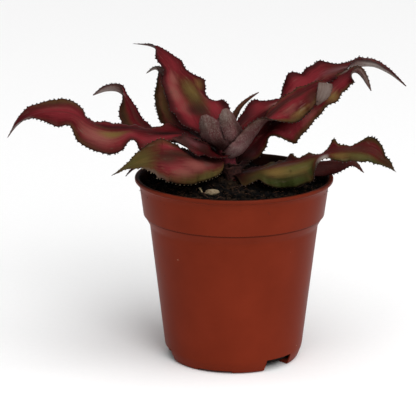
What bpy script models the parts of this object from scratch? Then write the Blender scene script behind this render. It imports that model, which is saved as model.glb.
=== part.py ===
"""Earth star plant (Cryptanthus) in a round plastic nursery pot.

A rosette of wavy, recurved leaves grows from a short leaning stem. The stem is rooted in
potting mix that fills the pot to a few millimetres below its lip. The frame has its origin
on the pot's axis, on the surface that the pot stands on: +X is to the plant's right,
+Y to its back and +Z up. Lengths in the tables are millimetres, and MM turns them to metres.
"""

import math

import bmesh
import bpy
import numpy as np
from mathutils import Matrix, Vector

MM = 0.001
GAP = 0.3               # clearance between two pieces that touch

# --- pot ---------------------------------------------------------------------------------
POT_HEIGHT = 84.3
LIP_RADIUS = 45.0
COLLAR_TOP_RADIUS = 42.8
LIP_FOOT_Z = 80.0       # where the collar starts to flare out to the lip
COLLAR_FOOT_RADIUS = 41.1
COLLAR_FOOT_Z = 67.2    # where the collar starts to turn in to the body
BODY_TOP_RADIUS = 38.3
BODY_TOP_Z = 62.8
BODY_FOOT_RADIUS = 31.6
BODY_FOOT_Z = 5.0
FOOT_RADIUS = 29.6
FOOT_ROUND = 1.2        # the foot's outer edge
LIP_WIDTH = 2.0         # the lip's flat top, from its outer edge inwards
LIP_ROUND = 0.5         # the lip's outer edge, at its top
LIP_BAND = 1.2          # how far down the lip's outer edge reaches
LIP_TAPER = 0.9         # how far it then draws in before it runs into the collar
STEP_ROUND = 0.9        # the corners of the step from the collar to the body
WALL = 0.9
FLOOR_UNDERSIDE_Z = 1.4
FLOOR_TOP_Z = 2.6
FLOOR_CORNER = 2.0      # the slope between the floor and the wall, inside
STEP_RISE = 0.6         # the step sits this much higher on the inside, so the wall stays even
DRAFT = 0.6
FOOT_RING_INNER_RADIUS = 24.0
GATE_PAD_RADIUS = 9.0   # the round pad at the middle of the underside, level with the foot
POT_STEPS = 48
NOTCH_AZIMUTHS = (-48.0, 72.0, 192.0)      # degrees anticlockwise from +X
NOTCH_SIZE = (12.0, 14.6, 5.5)             # radial, along the rim, height
RECESS_AZIMUTHS = (-106.5, 13.5, 133.5)
RECESS_SIZE = (9.0, 16.0, 1.1)
FOOT_CUT_START = 3.5                       # how far outside the foot its cuts begin

# --- potting mix and stem ----------------------------------------------------------------
MIX_CROWN_Z = 83.2      # the mix is mounded round the stem
MIX_CROWN_RADIUS = 13.0
MIX_EDGE_Z = 79.0
MIX_STEP_RISE = 0.3     # keeps the mix clear of the pot's step
STEM_ROOT = (2.6, -3.0, 76.0)
STEM_HEART = (-4.6, -1.6, 99.0)
STEM_ROOT_RADIUS = 4.4
STEM_HEART_RADIUS = 2.4
STEM_SIDES = 16
SOCKET_LENGTH = 30.0    # from the root's end out through the top of the mix
PEBBLE_PLACE = (-9.6, -23.5)
PEBBLE_SIZE = (6.6, 4.4, 2.6)
SLIVER_ENDS = ((-15.4, -17.5), (-13.6, -25.0))
SLIVER_RADIUS = 0.5

# --- leaves ------------------------------------------------------------------------------
LEAF_THICKNESS = 0.9
LEAF_SEAT = 2.0 * GAP + 0.5 * LEAF_THICKNESS   # from the stem's skin to a leaf's middle surface
LEAF_COLUMNS = 3                           # faces across each half of a blade
LEAF_ROW_SPACING = 4.8                     # along the midrib

# Each leaf starts on the stem: how far up it (0 root, 1 heart), the direction round it in
# degrees anticlockwise from +X, and the half width and the two angles of its foot. Then come
# the places that its midrib passes, as x, y, z, half width, left angle, right angle. An angle
# says how far that half of the blade is raised above level, or hangs where it is negative.
# Left and right are as seen from the heart, looking out along the leaf.
LEAVES = {
    "leaf_left_long": dict(foot=(0.72, 190, 2.2, 10, 10), stations=(
        (-14, -2.5, 100.3, 4.6, 12, 10),
        (-22, -4, 104, 7.2, 0, 5),
        (-34, -6, 105, 8.2, -38, 0),
        (-41, -7, 106, 10.5, -42, 0),
        (-46.5, -8, 107, 11, -8, 0),
        (-56, -9, 107, 12.5, -48, 10),
        (-64, -10, 110, 11.5, -50, 0),
        (-71, -10, 114.5, 9.5, -18, 28),
        (-79, -10, 116, 8, -35, 20),
        (-90, -8, 114, 5, -12, 20),
        (-97, -7, 109, 2.5, 10, 18),
        (-101.5, -6, 103, 0.5, 10, 10))),
    "leaf_front_left": dict(foot=(0.50, 222, 2.5, 10, 10), stations=(
        (-12, -13, 94, 9, -25, 15),
        (-21, -22, 98, 11.5, -60, 30),
        (-30, -26, 99, 11.5, -55, 27),
        (-36, -26, 98.5, 10, -25, 28),
        (-44, -26, 96, 5.5, -5, 22),
        (-54, -25, 90.5, 0.5, 0, 0))),
    "leaf_rear_left": dict(foot=(0.63, 156, 1.8, 0, 0), stations=(
        (-20, 8.5, 97, 4.5, 0, 0),
        (-30, 13, 99.5, 6, 0, 0),
        (-39.5, 17, 101, 7.5, 0, 0),
        (-45, 20, 104.5, 7.5, 0, 0),
        (-48, 23, 110, 5.5, 0, 10),
        (-51, 25, 116, 2.5, 10, 20),
        (-54, 25, 118, 3.5, 65, 50),
        (-59, 25, 118, 2.8, 75, 60),
        (-65, 24, 116, 0.5, 60, 60))),
    "leaf_rear_inner_left": dict(foot=(0.81, 128, 1.8, 0, 0), stations=(
        (-15, 13, 100, 7, 0, 0),
        (-23, 22, 104, 11, 0, 0),
        (-28, 30, 111, 9.5, 0, 0),
        (-32, 36, 120, 6, 0, 0),
        (-37, 39, 125, 3, 40, 40),
        (-41, 40, 123, 0.5, 40, 40))),
    "leaf_rear_tall": dict(foot=(0.93, 124, 2.0, 10, 10), stations=(
        (-7.3, 3.3, 100.5, 4.3, 10, 10),
        (-10, 7, 105, 9.5, 10, 10),
        (-14, 12, 110, 13, 10, 28),
        (-20, 20, 117, 12, 0, -18),
        (-25, 27, 123, 11.5, -10, 0),
        (-29, 31, 129, 7.5, 0, 0),
        (-33, 34, 134, 5, 0, 0),
        (-38, 35, 137, 3, 20, 0),
        (-46, 34, 138, 0.5, 20, 0))),
    "leaf_centre_spike": dict(foot=(0.98, 40, 1.5, 10, 10), facing=50, stations=(
        (-1.5, 1.5, 103, 1.8, 20, 20),
        (0, 3, 108.5, 2.4, 20, 20),
        (2.8, 5, 114.5, 2.4, 30, 30),
        (6.8, 7.5, 118.5, 1.6, 30, 30),
        (11, 9.5, 121, 0.4, 30, 30))),
    "leaf_heart_left": dict(foot=(0.91, 228, 2.3, 25, 25), facing=235, stations=(
        (-9, -8, 103, 4.5, 30, 30),
        (-11, -9, 109, 4.5, 30, 30),
        (-12, -8, 113.5, 3.5, 30, 30),
        (-12.5, -5.5, 115.5, 0.8, 30, 30))),
    "leaf_heart_right": dict(foot=(0.97, 304, 2.2, 20, 20), facing=280, stations=(
        (-2, -7, 104, 4.8, 30, 30),
        (-2, -7.5, 110, 5, 30, 30),
        (-2.5, -6.5, 114.5, 4, 30, 30),
        (-3.5, -4.5, 117, 0.8, 30, 30))),
    "leaf_right_long": dict(foot=(0.88, 42, 2.0, 10, 10), stations=(
        (1.2, 4.3, 101, 3.2, 15, 0),
        (6, 10, 106, 8.5, 50, -35),
        (13, 14, 110, 10, 32, 0),
        (24, 20, 115.5, 9, -5, 5),
        (30.5, 23, 119, 11, 45, 8),
        (36, 25.5, 122, 10, 27, 5),
        (41, 28, 125, 9, 33, 0),
        (50, 30, 128, 6, 8, 0),
        (57, 30, 129, 4.5, 40, 45),
        (64, 30, 129, 3.5, 50, 45),
        (71, 29, 126, 2, 50, 45),
        (79, 27, 120, 0.5, 50, 50))),
    "leaf_right_middle": dict(foot=(0.74, 315, 3.0, 10, 30), facing=0, stations=(
        (3, -6, 95.5, 4.5, 0, 60),
        (6.5, -6, 99.5, 5.5, 0, 75),
        (10, -5, 105, 6.5, 0, 70),
        (14.5, -2, 110.5, 8, 0, 0),
        (23, 1, 117, 9, 10, -55),
        (32, 3, 122.5, 8, 10, -50),
        (38, 4, 125.5, 6, 10, -20),
        (42, 4, 124.5, 4, 10, 20),
        (41, 2, 121, 3.5, 10, 20),
        (37, 0, 118, 0.5, 10, 20))),
    "leaf_right_under": dict(foot=(0.66, 14, 2.0, 0, 0), stations=(
        (7, 3, 96.5, 7, -20, -60),
        (11, 4, 99.5, 7, -20, -45),
        (14.5, 5, 102.5, 7, -15, 0),
        (20, 6, 106.5, 12, -12, -68),
        (27, 7, 111, 11, -12, -62),
        (34, 8, 115.5, 9, -8, -60),
        (39, 9, 119, 7, -8, -40),
        (44.5, 10.5, 122.5, 8, 3, -55),
        (51, 11, 127, 7, 15, -48),
        (54, 10.5, 130, 4, 20, 0),
        (56.5, 10, 130.4, 3.5, 40, 60),
        (59, 9, 127.8, 3, 40, 75),
        (60.8, 8, 124.8, 2, 40, 75),
        (62.8, 7, 121.6, 0.4, 40, 60))),
    "leaf_front_right": dict(foot=(0.43, 300, 2.0, 10, 0), stations=(
        (10, -12, 89.5, 7, 0, -20),
        (19, -16, 93, 11, 0, -62),
        (27, -18, 95, 12, 5, -64),
        (33, -19, 97, 11, 0, -55),
        (37.5, -20.5, 98.5, 8, 0, -5),
        (44, -22, 101, 8, 18, 0),
        (52, -24, 102, 9, 2, -22),
        (60, -26, 101, 8, 55, -20),
        (66.5, -28, 97.5, 4.5, 60, -10),
        (70.5, -28, 94, 0.5, 0, 0))),
    "leaf_low_right": dict(foot=(0.42, 356, 1.8, 10, 10), stations=(
        (15, 2, 88, 7, 10, 10),
        (28, 5, 89, 8, 10, 0),
        (39, 5, 90.5, 7, 10, -45),
        (45, 5, 90.5, 5.5, 10, -55),
        (54, 4.5, 90, 2, 10, 0),
        (59, 3, 85, 0.4, 0, 0))),
    "leaf_low_left": dict(foot=(0.42, 182, 2.2, 10, 10), stations=(
        (-15, 0, 88.5, 4.5, 10, -10),
        (-27, 0, 90.5, 6, 10, 0),
        (-38, -1, 90, 4, 10, 10),
        (-45, -2, 88, 2, 10, 10),
        (-49, -3, 84.5, 0.4, 10, 10))),
    "leaf_heart_side": dict(foot=(0.85, 226, 1.5, 20, 20), stations=(
        (-9.2, -10.8, 97.6, 2.2, 45, 50),
        (-14.5, -12.8, 100.5, 3.6, 60, 55),
        (-21, -16.8, 103.7, 3.2, 60, 50),
        (-27, -18, 105.8, 0.5, 60, 40))),
    "leaf_back_centre": dict(foot=(0.57, 92, 1.6, 10, 10), stations=(
        (-6, 15, 94, 6, 10, 10),
        (-9, 26, 97, 10, 0, 0),
        (-12, 38, 98, 10, -10, -20),
        (-14, 50, 95, 6, 0, 0),
        (-15, 62, 86, 0.5, 0, 0))),
    "leaf_back_right": dict(foot=(0.45, 55, 2.2, 10, 10), stations=(
        (3, 13, 88.5, 5, 0, 0),
        (5, 24, 90, 6, 0, 0),
        (6, 36, 90.5, 5, 0, 0),
        (7, 46, 88.5, 3, 0, 0),
        (7.5, 54, 85.5, 0.5, 0, 0))),
    "leaf_back_left": dict(foot=(0.53, 146, 1.8, 10, 10), stations=(
        (-15, 13, 88.5, 5, 0, 0),
        (-24, 21, 89, 6, 0, 0),
        (-31, 28, 88.5, 5, 0, 0),
        (-36, 33, 87, 2.5, 0, 0),
        (-38, 35, 86, 0.4, 0, 0))),
}


def unit(vectors):
    """The rows of an array, each made one long."""
    return vectors / np.linalg.norm(vectors, axis=-1, keepdims=True)


def stem_axis(share):
    """A point on the stem's axis, from 0 at its root to 1 at the heart of the rosette."""
    root, heart = np.array(STEM_ROOT), np.array(STEM_HEART)
    return root + share * (heart - root)


def stem_radius(share):
    return STEM_ROOT_RADIUS + share * (STEM_HEART_RADIUS - STEM_ROOT_RADIUS)


def leaf_stations(leaf):
    """The foot's place on the stem, then the stations that the table gives, one row each."""
    share, azimuth, half_width, left, right = leaf["foot"]
    angle = math.radians(azimuth)
    reach = stem_radius(share) + LEAF_SEAT
    foot = stem_axis(share) + reach * np.array([math.cos(angle), math.sin(angle), 0.0])
    return np.array([(*foot, half_width, left, right), *leaf["stations"]], dtype=float)


def smooth_curve(rows, per_span=24):
    """A centripetal Catmull-Rom curve through the rows, whose first three columns are a place."""
    ends = np.vstack([2 * rows[0] - rows[1], rows, 2 * rows[-1] - rows[-2]])
    steps = np.sqrt(np.linalg.norm(np.diff(ends[:, :3], axis=0), axis=1))
    knots = np.concatenate([[0.0], np.cumsum(steps)])
    curve = []
    for i in range(1, len(ends) - 2):
        t0, t1, t2, t3 = knots[i - 1:i + 3]
        t = np.linspace(t1, t2, per_span, endpoint=False)[:, None]
        a1 = (t1 - t) / (t1 - t0) * ends[i - 1] + (t - t0) / (t1 - t0) * ends[i]
        a2 = (t2 - t) / (t2 - t1) * ends[i] + (t - t1) / (t2 - t1) * ends[i + 1]
        a3 = (t3 - t) / (t3 - t2) * ends[i + 1] + (t - t2) / (t3 - t2) * ends[i + 2]
        b1 = (t2 - t) / (t2 - t0) * a1 + (t - t0) / (t2 - t0) * a2
        b2 = (t3 - t) / (t3 - t1) * a2 + (t - t1) / (t3 - t1) * a3
        curve.append((t2 - t) / (t2 - t1) * b1 + (t - t1) / (t2 - t1) * b2)
    curve.append(ends[-2][None, :])
    return np.vstack(curve)


def leaf_frames(midrib, facing):
    """The way across (to the right) and the way up from the blade, along a midrib.

    The way across stays level while the leaf climbs and arches, and turns slowly where
    the tip bends right over. A leaf that stands nearly upright states the direction that
    it faces away from the heart instead, in degrees anticlockwise from +X.
    """
    along = unit(np.gradient(midrib, axis=0))
    if facing is None:
        across = np.cross(along, (0.0, 0.0, 1.0))
    else:
        turn = math.radians(facing)
        across = np.tile((math.sin(turn), -math.cos(turn), 0.0), (len(midrib), 1))
    for i in range(1, len(across)):
        if across[i] @ across[i - 1] < 0:
            across[i] = -across[i]
    window = max(3, len(midrib) // 8)
    padded = np.pad(across, ((window, window), (0, 0)), mode="edge")
    kernel = np.hanning(2 * window + 1)
    across = np.stack([np.convolve(padded[:, k], kernel, mode="valid") for k in range(3)], axis=1)
    across = unit(across - np.sum(across * along, axis=1, keepdims=True) * along)
    return across, np.cross(across, along)


def half_section(angle, share):
    """How far across and up a half blade has come, at a share of its width from the midrib.

    Its slope grows from 0.4 to 1.6 times the half's angle, so the half is gently curved.
    """
    start, bend = 0.4 * angle, 1.2 * angle
    bend = np.where(np.abs(bend) < 1e-4, 1e-4, bend)
    end = start + bend * share
    return (np.sin(end) - np.sin(start)) / bend, (np.cos(start) - np.cos(end)) / bend


def leaf_surface(leaf, rows, columns):
    """The middle surface of a leaf: rows from foot to tip, and columns across each half."""
    curve = smooth_curve(leaf_stations(leaf))
    reach = np.concatenate([[0.0], np.cumsum(np.linalg.norm(np.diff(curve[:, :3], axis=0), axis=1))])
    across, up = leaf_frames(curve[:, :3], leaf.get("facing"))
    table = np.hstack([curve, across, up])
    wanted = np.linspace(0.0, reach[-1], rows + 1)
    table = np.stack([np.interp(wanted, reach, column) for column in table.T], axis=1)
    midrib, half_width, across, up = table[:, :3], table[:, 3], table[:, 6:9], table[:, 9:12]
    grid = np.empty((rows + 1, 2 * columns + 1, 3))
    for j in range(-columns, columns + 1):
        side = 1 if j > 0 else -1
        angle = np.radians(table[:, 5] if j > 0 else table[:, 4])
        out, rise = half_section(angle, abs(j) / columns)
        grid[:, columns + j] = midrib + half_width[:, None] * (
            side * out[:, None] * across + rise[:, None] * up)
    return grid


# --- making the pieces ---------------------------------------------------------------------


def clear_scene():
    for thing in list(bpy.data.objects):
        bpy.data.objects.remove(thing, do_unlink=True)


def collection(name):
    group = bpy.data.collections.new(name)
    bpy.context.scene.collection.children.link(group)
    return group


def material(name, colour, roughness):
    """A plain Principled material in linear colour."""
    finish = bpy.data.materials.new(name)
    finish.use_nodes = True
    shader = finish.node_tree.nodes["Principled BSDF"]
    shader.inputs["Base Color"].default_value = (*colour, 1.0)
    shader.inputs["Roughness"].default_value = roughness
    shader.inputs["Metallic"].default_value = 0.0
    return finish


def place(name, data, group, finish=None):
    thing = bpy.data.objects.new(name, data)
    group.objects.link(thing)
    if finish is not None:
        data.materials.append(finish)
    return thing


def turned(name, profile, group, finish=None):
    """A solid turned about the pot's axis from (radius, z) points, outer side top to bottom."""
    mesh = bpy.data.meshes.new(name)
    points = [(radius * MM, 0.0, z * MM) for radius, z in profile]
    mesh.from_pydata(points, [(i, i + 1) for i in range(len(points) - 1)], [])
    thing = place(name, mesh, group, finish)
    screw = thing.modifiers.new("turn", "SCREW")
    screw.steps = screw.render_steps = POT_STEPS
    screw.use_merge_vertices = True
    screw.merge_threshold = 0.00001
    screw.use_smooth_shade = True
    return thing


def hide_cutter(cutter, group):
    for owner in list(cutter.users_collection):
        owner.objects.unlink(cutter)
    group.objects.link(cutter)
    cutter.hide_render = True
    cutter.display_type = "WIRE"


def cut(thing, cutter):
    boolean = thing.modifiers.new(cutter.name, "BOOLEAN")
    boolean.operation = "DIFFERENCE"
    boolean.solver = "EXACT"
    boolean.object = cutter


def foot_cutter(name, azimuth, size, group):
    """A block that cuts an arch in the pot's foot, from its outside inwards."""
    depth, width, height = size
    turn = math.radians(azimuth)
    middle = FOOT_RADIUS + FOOT_CUT_START - 0.5 * depth
    bpy.ops.mesh.primitive_cube_add(
        size=1.0, location=(middle * math.cos(turn) * MM, middle * math.sin(turn) * MM, 0.0),
        rotation=(0.0, 0.0, turn))
    block = bpy.context.object
    block.name = name
    block.data.transform(Matrix.Diagonal((depth * MM, width * MM, 2 * height * MM, 1.0)))
    hide_cutter(block, group)
    return block


def pot_outer_radius(z):
    """The radius of the pot's outer wall below its lip."""
    heights = (0.0, BODY_FOOT_Z, BODY_TOP_Z, COLLAR_FOOT_Z, LIP_FOOT_Z)
    radii = (FOOT_RADIUS, BODY_FOOT_RADIUS, BODY_TOP_RADIUS, COLLAR_FOOT_RADIUS, COLLAR_TOP_RADIUS)
    return float(np.interp(z, heights, radii))


def step_corners(inset):
    """The step from the collar down to the body, as (radius, z), set in from the outer face."""
    return [
        (COLLAR_FOOT_RADIUS - inset, COLLAR_FOOT_Z),
        (COLLAR_FOOT_RADIUS - STEP_ROUND - inset, COLLAR_FOOT_Z - 1.8 * STEP_ROUND),
        (BODY_TOP_RADIUS + 0.4 * STEP_ROUND - inset, BODY_TOP_Z + STEP_ROUND),
        (BODY_TOP_RADIUS - inset, BODY_TOP_Z - 0.7 * STEP_ROUND)]


def raised(points, rise):
    return [(radius, z + rise) for radius, z in points]


def make_pot(group, cutters):
    inner_foot = BODY_FOOT_RADIUS - WALL
    outer = [
        (LIP_RADIUS - LIP_ROUND, POT_HEIGHT), (LIP_RADIUS, POT_HEIGHT - LIP_ROUND),
        (LIP_RADIUS, POT_HEIGHT - LIP_BAND),
        (LIP_RADIUS - LIP_TAPER, POT_HEIGHT - LIP_BAND - LIP_TAPER), (COLLAR_TOP_RADIUS, LIP_FOOT_Z),
        *step_corners(0.0), (BODY_FOOT_RADIUS, BODY_FOOT_Z),
        (FOOT_RADIUS + FOOT_ROUND, FOOT_ROUND), (FOOT_RADIUS, 0.0)]
    under = [
        (FOOT_RING_INNER_RADIUS, 0.0), (FOOT_RING_INNER_RADIUS - DRAFT, FLOOR_UNDERSIDE_Z),
        (GATE_PAD_RADIUS + DRAFT, FLOOR_UNDERSIDE_Z), (GATE_PAD_RADIUS, 0.0), (0.0, 0.0)]
    inner = [
        (0.0, FLOOR_TOP_Z), (inner_foot - FLOOR_CORNER, FLOOR_TOP_Z), (inner_foot, BODY_FOOT_Z),
        *reversed(raised(step_corners(WALL), STEP_RISE)), (COLLAR_TOP_RADIUS - WALL, LIP_FOOT_Z),
        (LIP_RADIUS - LIP_WIDTH - DRAFT, POT_HEIGHT - LIP_BAND), (LIP_RADIUS - LIP_WIDTH, POT_HEIGHT)]
    pot = turned("pot", inner + outer + under, group,
                 material("terracotta_plastic", (0.30, 0.062, 0.030), 0.42))
    for i, azimuth in enumerate(NOTCH_AZIMUTHS):
        cut(pot, foot_cutter(f"drain_notch_{i + 1}", azimuth, NOTCH_SIZE, cutters))
    for i, azimuth in enumerate(RECESS_AZIMUTHS):
        cut(pot, foot_cutter(f"foot_recess_{i + 1}", azimuth, RECESS_SIZE, cutters))
    return pot


def mix_height(radius):
    """The height of the potting mix, at a distance from the pot's axis."""
    return float(np.interp(radius, (MIX_CROWN_RADIUS, pot_outer_radius(MIX_EDGE_Z) - WALL),
                           (MIX_CROWN_Z, MIX_EDGE_Z)))


def make_mix(group, cutters):
    """Potting mix that fills the pot, with a socket for the stem's root."""
    inset = WALL + GAP
    edge = pot_outer_radius(MIX_EDGE_Z) - inset
    foot = BODY_FOOT_RADIUS - inset
    rings = (0.0, MIX_CROWN_RADIUS, 0.5 * (MIX_CROWN_RADIUS + edge), edge)
    profile = [(radius, mix_height(radius)) for radius in rings]
    profile += raised(step_corners(inset), STEP_RISE + MIX_STEP_RISE)
    profile += raised([(foot, BODY_FOOT_Z), (foot - FLOOR_CORNER, FLOOR_TOP_Z), (0.0, FLOOR_TOP_Z)], GAP)
    mix = turned("potting_mix", profile, group, material("peat_potting_mix", (0.012, 0.008, 0.006), 0.95))
    lean = Vector(STEM_HEART) - Vector(STEM_ROOT)
    bottom = Vector(STEM_ROOT) - GAP * lean.normalized()
    middle = bottom + 0.5 * SOCKET_LENGTH * lean.normalized()
    bpy.ops.mesh.primitive_cylinder_add(
        vertices=STEM_SIDES, radius=(STEM_ROOT_RADIUS + GAP) * MM, depth=SOCKET_LENGTH * MM,
        location=middle * MM, rotation=lean.to_track_quat("Z", "Y").to_euler())
    socket = bpy.context.object
    socket.name = "stem_socket"
    hide_cutter(socket, cutters)
    cut(mix, socket)
    return mix


def tube(name, points, radii, sides, group, finish):
    """A tapering round rod through the points."""
    curve = bpy.data.curves.new(name, "CURVE")
    curve.dimensions = "3D"
    curve.bevel_depth = MM
    curve.bevel_resolution = sides // 2 - 2
    curve.use_fill_caps = True
    spline = curve.splines.new("POLY")
    spline.points.add(len(points) - 1)
    for knot, point, radius in zip(spline.points, points, radii):
        knot.co = (*(coordinate * MM for coordinate in point), 1.0)
        knot.radius = radius
    return place(name, curve, group, finish)


def make_stem(group):
    shares = (0.0, 0.3, 0.6, 0.95, 1.0)
    radii = [stem_radius(share) for share in shares[:-1]] + [0.6 * STEM_HEART_RADIUS]
    return tube("stem", [tuple(stem_axis(share)) for share in shares], radii, STEM_SIDES, group,
                material("leaf_sheath", (0.110, 0.030, 0.032), 0.7))


def make_leaf(name, leaf, group, finish):
    length = float(np.sum(np.linalg.norm(np.diff(leaf_stations(leaf)[:, :3], axis=0), axis=1)))
    rows = max(6, round(length / LEAF_ROW_SPACING))
    grid = leaf_surface(leaf, rows, LEAF_COLUMNS) * MM
    shape = bmesh.new()
    knots = [[shape.verts.new(point) for point in row] for row in grid]
    for lower, upper in zip(knots, knots[1:]):
        for j in range(len(lower) - 1):
            shape.faces.new((lower[j], lower[j + 1], upper[j + 1], upper[j]))
    mesh = bpy.data.meshes.new(name)
    shape.to_mesh(mesh)
    shape.free()
    blade = place(name, mesh, group, finish)
    wall = blade.modifiers.new("thickness", "SOLIDIFY")
    wall.thickness = LEAF_THICKNESS * MM
    wall.offset = 0.0
    mesh.shade_smooth()
    return blade


def make_pebble(group):
    x, y = PEBBLE_PLACE
    length, width, height = PEBBLE_SIZE
    seat = mix_height(math.hypot(x, y)) + 1.2 * GAP
    bpy.ops.mesh.primitive_uv_sphere_add(segments=14, ring_count=8, radius=0.5)
    pebble = bpy.context.object
    pebble.name = "pebble"
    pebble.data.transform(Matrix.Diagonal((length * MM, width * MM, height * MM, 1.0)))
    pebble.data.transform(Matrix.Translation(Vector((x, y, seat + 0.5 * height)) * MM))
    for owner in list(pebble.users_collection):
        owner.objects.unlink(pebble)
    group.objects.link(pebble)
    pebble.data.materials.append(material("pale_stone", (0.42, 0.36, 0.27), 0.7))
    pebble.data.shade_smooth()
    return pebble


def make_wood_sliver(group):
    ends = []
    for x, y in SLIVER_ENDS:
        ends.append((x, y, mix_height(math.hypot(x, y)) + GAP + SLIVER_RADIUS))
    return tube("wood_sliver", ends, [SLIVER_RADIUS, 0.6 * SLIVER_RADIUS], 8, group,
                material("dry_wood", (0.25, 0.19, 0.11), 0.85))


def main():
    clear_scene()
    plant = collection("earth_star_plant")
    cutters = collection("cutters")
    make_pot(plant, cutters)
    make_mix(plant, cutters)
    make_stem(plant)
    for name, leaf in LEAVES.items():
        make_leaf(name, leaf, plant, material(f"{name}_blade", (0.18, 0.022, 0.028), 0.5))
    make_pebble(plant)
    make_wood_sliver(plant)


if __name__ == "__main__":
    main()
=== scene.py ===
"""Earth star plant (Cryptanthus) in a terracotta-coloured nursery pot: the visible surfaces.

Lengths in the tables are millimetres, and MM turns them to metres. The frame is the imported
model's: its origin is under the pot's centre, +X to the right, +Y to the back and +Z up.
"""

import math
import random
from functools import partial

import bmesh
import bpy
import numpy as np
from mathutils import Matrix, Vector, noise


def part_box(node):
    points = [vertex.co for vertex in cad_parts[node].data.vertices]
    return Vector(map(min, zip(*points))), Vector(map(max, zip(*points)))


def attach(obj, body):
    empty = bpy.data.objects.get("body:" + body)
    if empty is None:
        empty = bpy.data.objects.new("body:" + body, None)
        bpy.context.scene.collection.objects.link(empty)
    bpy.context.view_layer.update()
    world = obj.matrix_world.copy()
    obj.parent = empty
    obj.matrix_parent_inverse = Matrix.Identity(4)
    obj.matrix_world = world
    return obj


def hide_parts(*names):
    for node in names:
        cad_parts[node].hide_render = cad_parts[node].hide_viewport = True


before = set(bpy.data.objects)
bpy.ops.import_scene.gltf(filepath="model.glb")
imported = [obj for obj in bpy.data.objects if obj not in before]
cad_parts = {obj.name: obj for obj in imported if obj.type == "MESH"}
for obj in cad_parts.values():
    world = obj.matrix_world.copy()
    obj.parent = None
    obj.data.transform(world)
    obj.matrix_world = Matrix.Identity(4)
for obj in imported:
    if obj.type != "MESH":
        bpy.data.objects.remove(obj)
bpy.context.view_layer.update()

MM = 0.001

# --- pot ---------------------------------------------------------------------------------
POT_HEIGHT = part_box("pot")[1].z / MM
LIP_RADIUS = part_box("pot")[1].x / MM
LIP_WIDTH = 2.0
LIP_BAND = 1.6          # how far down the lip's outer face reaches
LIP_ROUND = 0.7
LIP_OVERHANG = 1.1      # how far the lip stands out over the wall below it
COLLAR_TOP = (42.8, 80.2)       # radius, height
COLLAR_FOOT = (41.1, 67.0)
BODY_TOP = (38.3, 62.6)
BODY_FOOT = (31.6, 5.0)
FOOT_RADIUS = 29.6
WALL = 0.9
LEDGE = 0.55            # the sharp lower edge of the collar stands this far proud of the step
STEP_RISE = 0.6         # the step sits this much higher on the inside
FLOOR_UNDERSIDE_Z = 1.4
FLOOR_TOP_Z = 2.6
FOOT_RING_INNER_RADIUS = 24.0
GATE_PAD = (9.0, 0.2)           # radius, height of its face above the table
POT_STEPS = 192
NOTCH_AZIMUTHS = (-48.0, 72.0, 192.0)   # degrees anticlockwise from +X
NOTCH_SIZE = (12.0, 14.6, 5.5)          # radial, along the rim, height
RECESS_AZIMUTHS = (-106.5, 13.5, 133.5)
RECESS_SIZE = (9.0, 16.0, 1.1)
FOOT_CUT_START = 3.5            # how far outside the foot a cut begins
# How strong the painted shade is on the inside, the lip's top, under the collar's ledge and on the lip's
# face.
PAINTED_SHADE_INSIDE, PAINTED_SHADE_LIP, PAINTED_SHADE_LEDGE, PAINTED_SHADE_BAND = 1.0, 0.8, 0.45, 0.25

# --- potting mix, stem and what lies on the mix --------------------------------------------
MIX_CROWN_Z = 83.2
MIX_CROWN_RADIUS = 13.0
MIX_EDGE_Z = 79.0
MIX_GAP = 0.3           # between the filling and the pot
MIX_RIM_GAP = 0.25      # and round the edge of its top
MIX_LUMPS = ((9.0, 0.60), (3.6, 0.75), (1.5, 0.40))     # how long and how high, coarse to fine
CRUMBS = ((260000.0, 1.5, 3), (90000.0, 2.8, 11))       # how many to a square metre, size, seed
FIBRES = (22000.0, 0.55, 7)
STEM_ROOT = (2.6, -3.0, 76.0)
STEM_HEART = (-4.6, -1.6, 99.0)
STEM_ROOT_RADIUS = 4.4
STEM_HEART_RADIUS = 2.4
STEM_END_RADIUS = 1.2   # of its blunt upper end
STEM_SKIRT = (2.0, -7.0, 83.0)      # the middle of the browner, fibrous mix round the stem
SHEATHS = 13            # bases of lost leaves, from the lowest up
SHEATH_START, SHEATH_RISE = 0.26, 0.045     # how far up the stem: the lowest, then each more
SHEATH_TURN = 137.5     # degrees from each to the next, as leaves grow on a rosette
DEAD_SHEATHS = 7        # the lowest ones, which have all dried
SHEATH_WALL = 0.18
PEBBLE_PLACE = (-9.6, -23.5)
PEBBLE_SIZE = (6.6, 4.4, 2.8)
PEBBLE_REST = 0.42      # how high its middle lies over the mix, as a share of its height
SLIVER_ENDS = ((-15.4, -17.5), (-13.6, -25.0))
SLIVER_REST = 1.25      # how high its middle lies over the mound's mean surface
SLIVER_RADIUS = 0.46

# --- leaf blades -------------------------------------------------------------------------
FOOT_DEPTH = 1.0        # how far a leaf's foot reaches into the stem
ROW_SPACING = 0.5       # along the midrib
COLUMNS = 13            # faces across each half of a blade
COLUMN_CROWDING = 1.35  # above 1, columns stand closer together towards the margins
MIDRIB_THICKNESS = 0.80
MARGIN_THICKNESS = 0.34
TIP_THICKNESS = 0.45            # the share of its thickness that a blade keeps at its tip
MIDRIB_GROOVE = (0.35, 1.1)     # depth and half width of the channel along the midrib
LEAST_HALF_WIDTH = 0.25
# A half blade's slope, as shares of its angle: at the midrib, and how much more at the margin.
SLOPE_START, SLOPE_GAIN = 0.4, 1.2
RUFFLE = (0.50, 7.5)            # height and length of the margin's waves
CRINKLE = (0.14, 2.6)           # the finer puckers on them
SPINE_PITCH = 1.95
BARE_FOOT = 0.12        # the share of a margin, from the foot on, that has no spines
BARE_TIP = 0.6          # and the length that has none at the tip
SPINE_SIZE = (0.48, 0.34, 0.35)     # length, base radius and how far its point hooks
SPINE_CUSHION = (0.30, 0.55)    # the margin's swelling at a spine: height, half length in pitches
RIM_STRENGTH = 0.62     # of the pigment that bands the margin
# A leaf's foot is darkened as painted shade, where the leaves crowd at the heart of the rosette.
PAINTED_FOOT_SHADE = 0.9        # how dark a leaf's foot is, if its table does not say
PALE_TOOTHED = ("front_left",)     # the leaves whose teeth have dried pale
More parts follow.
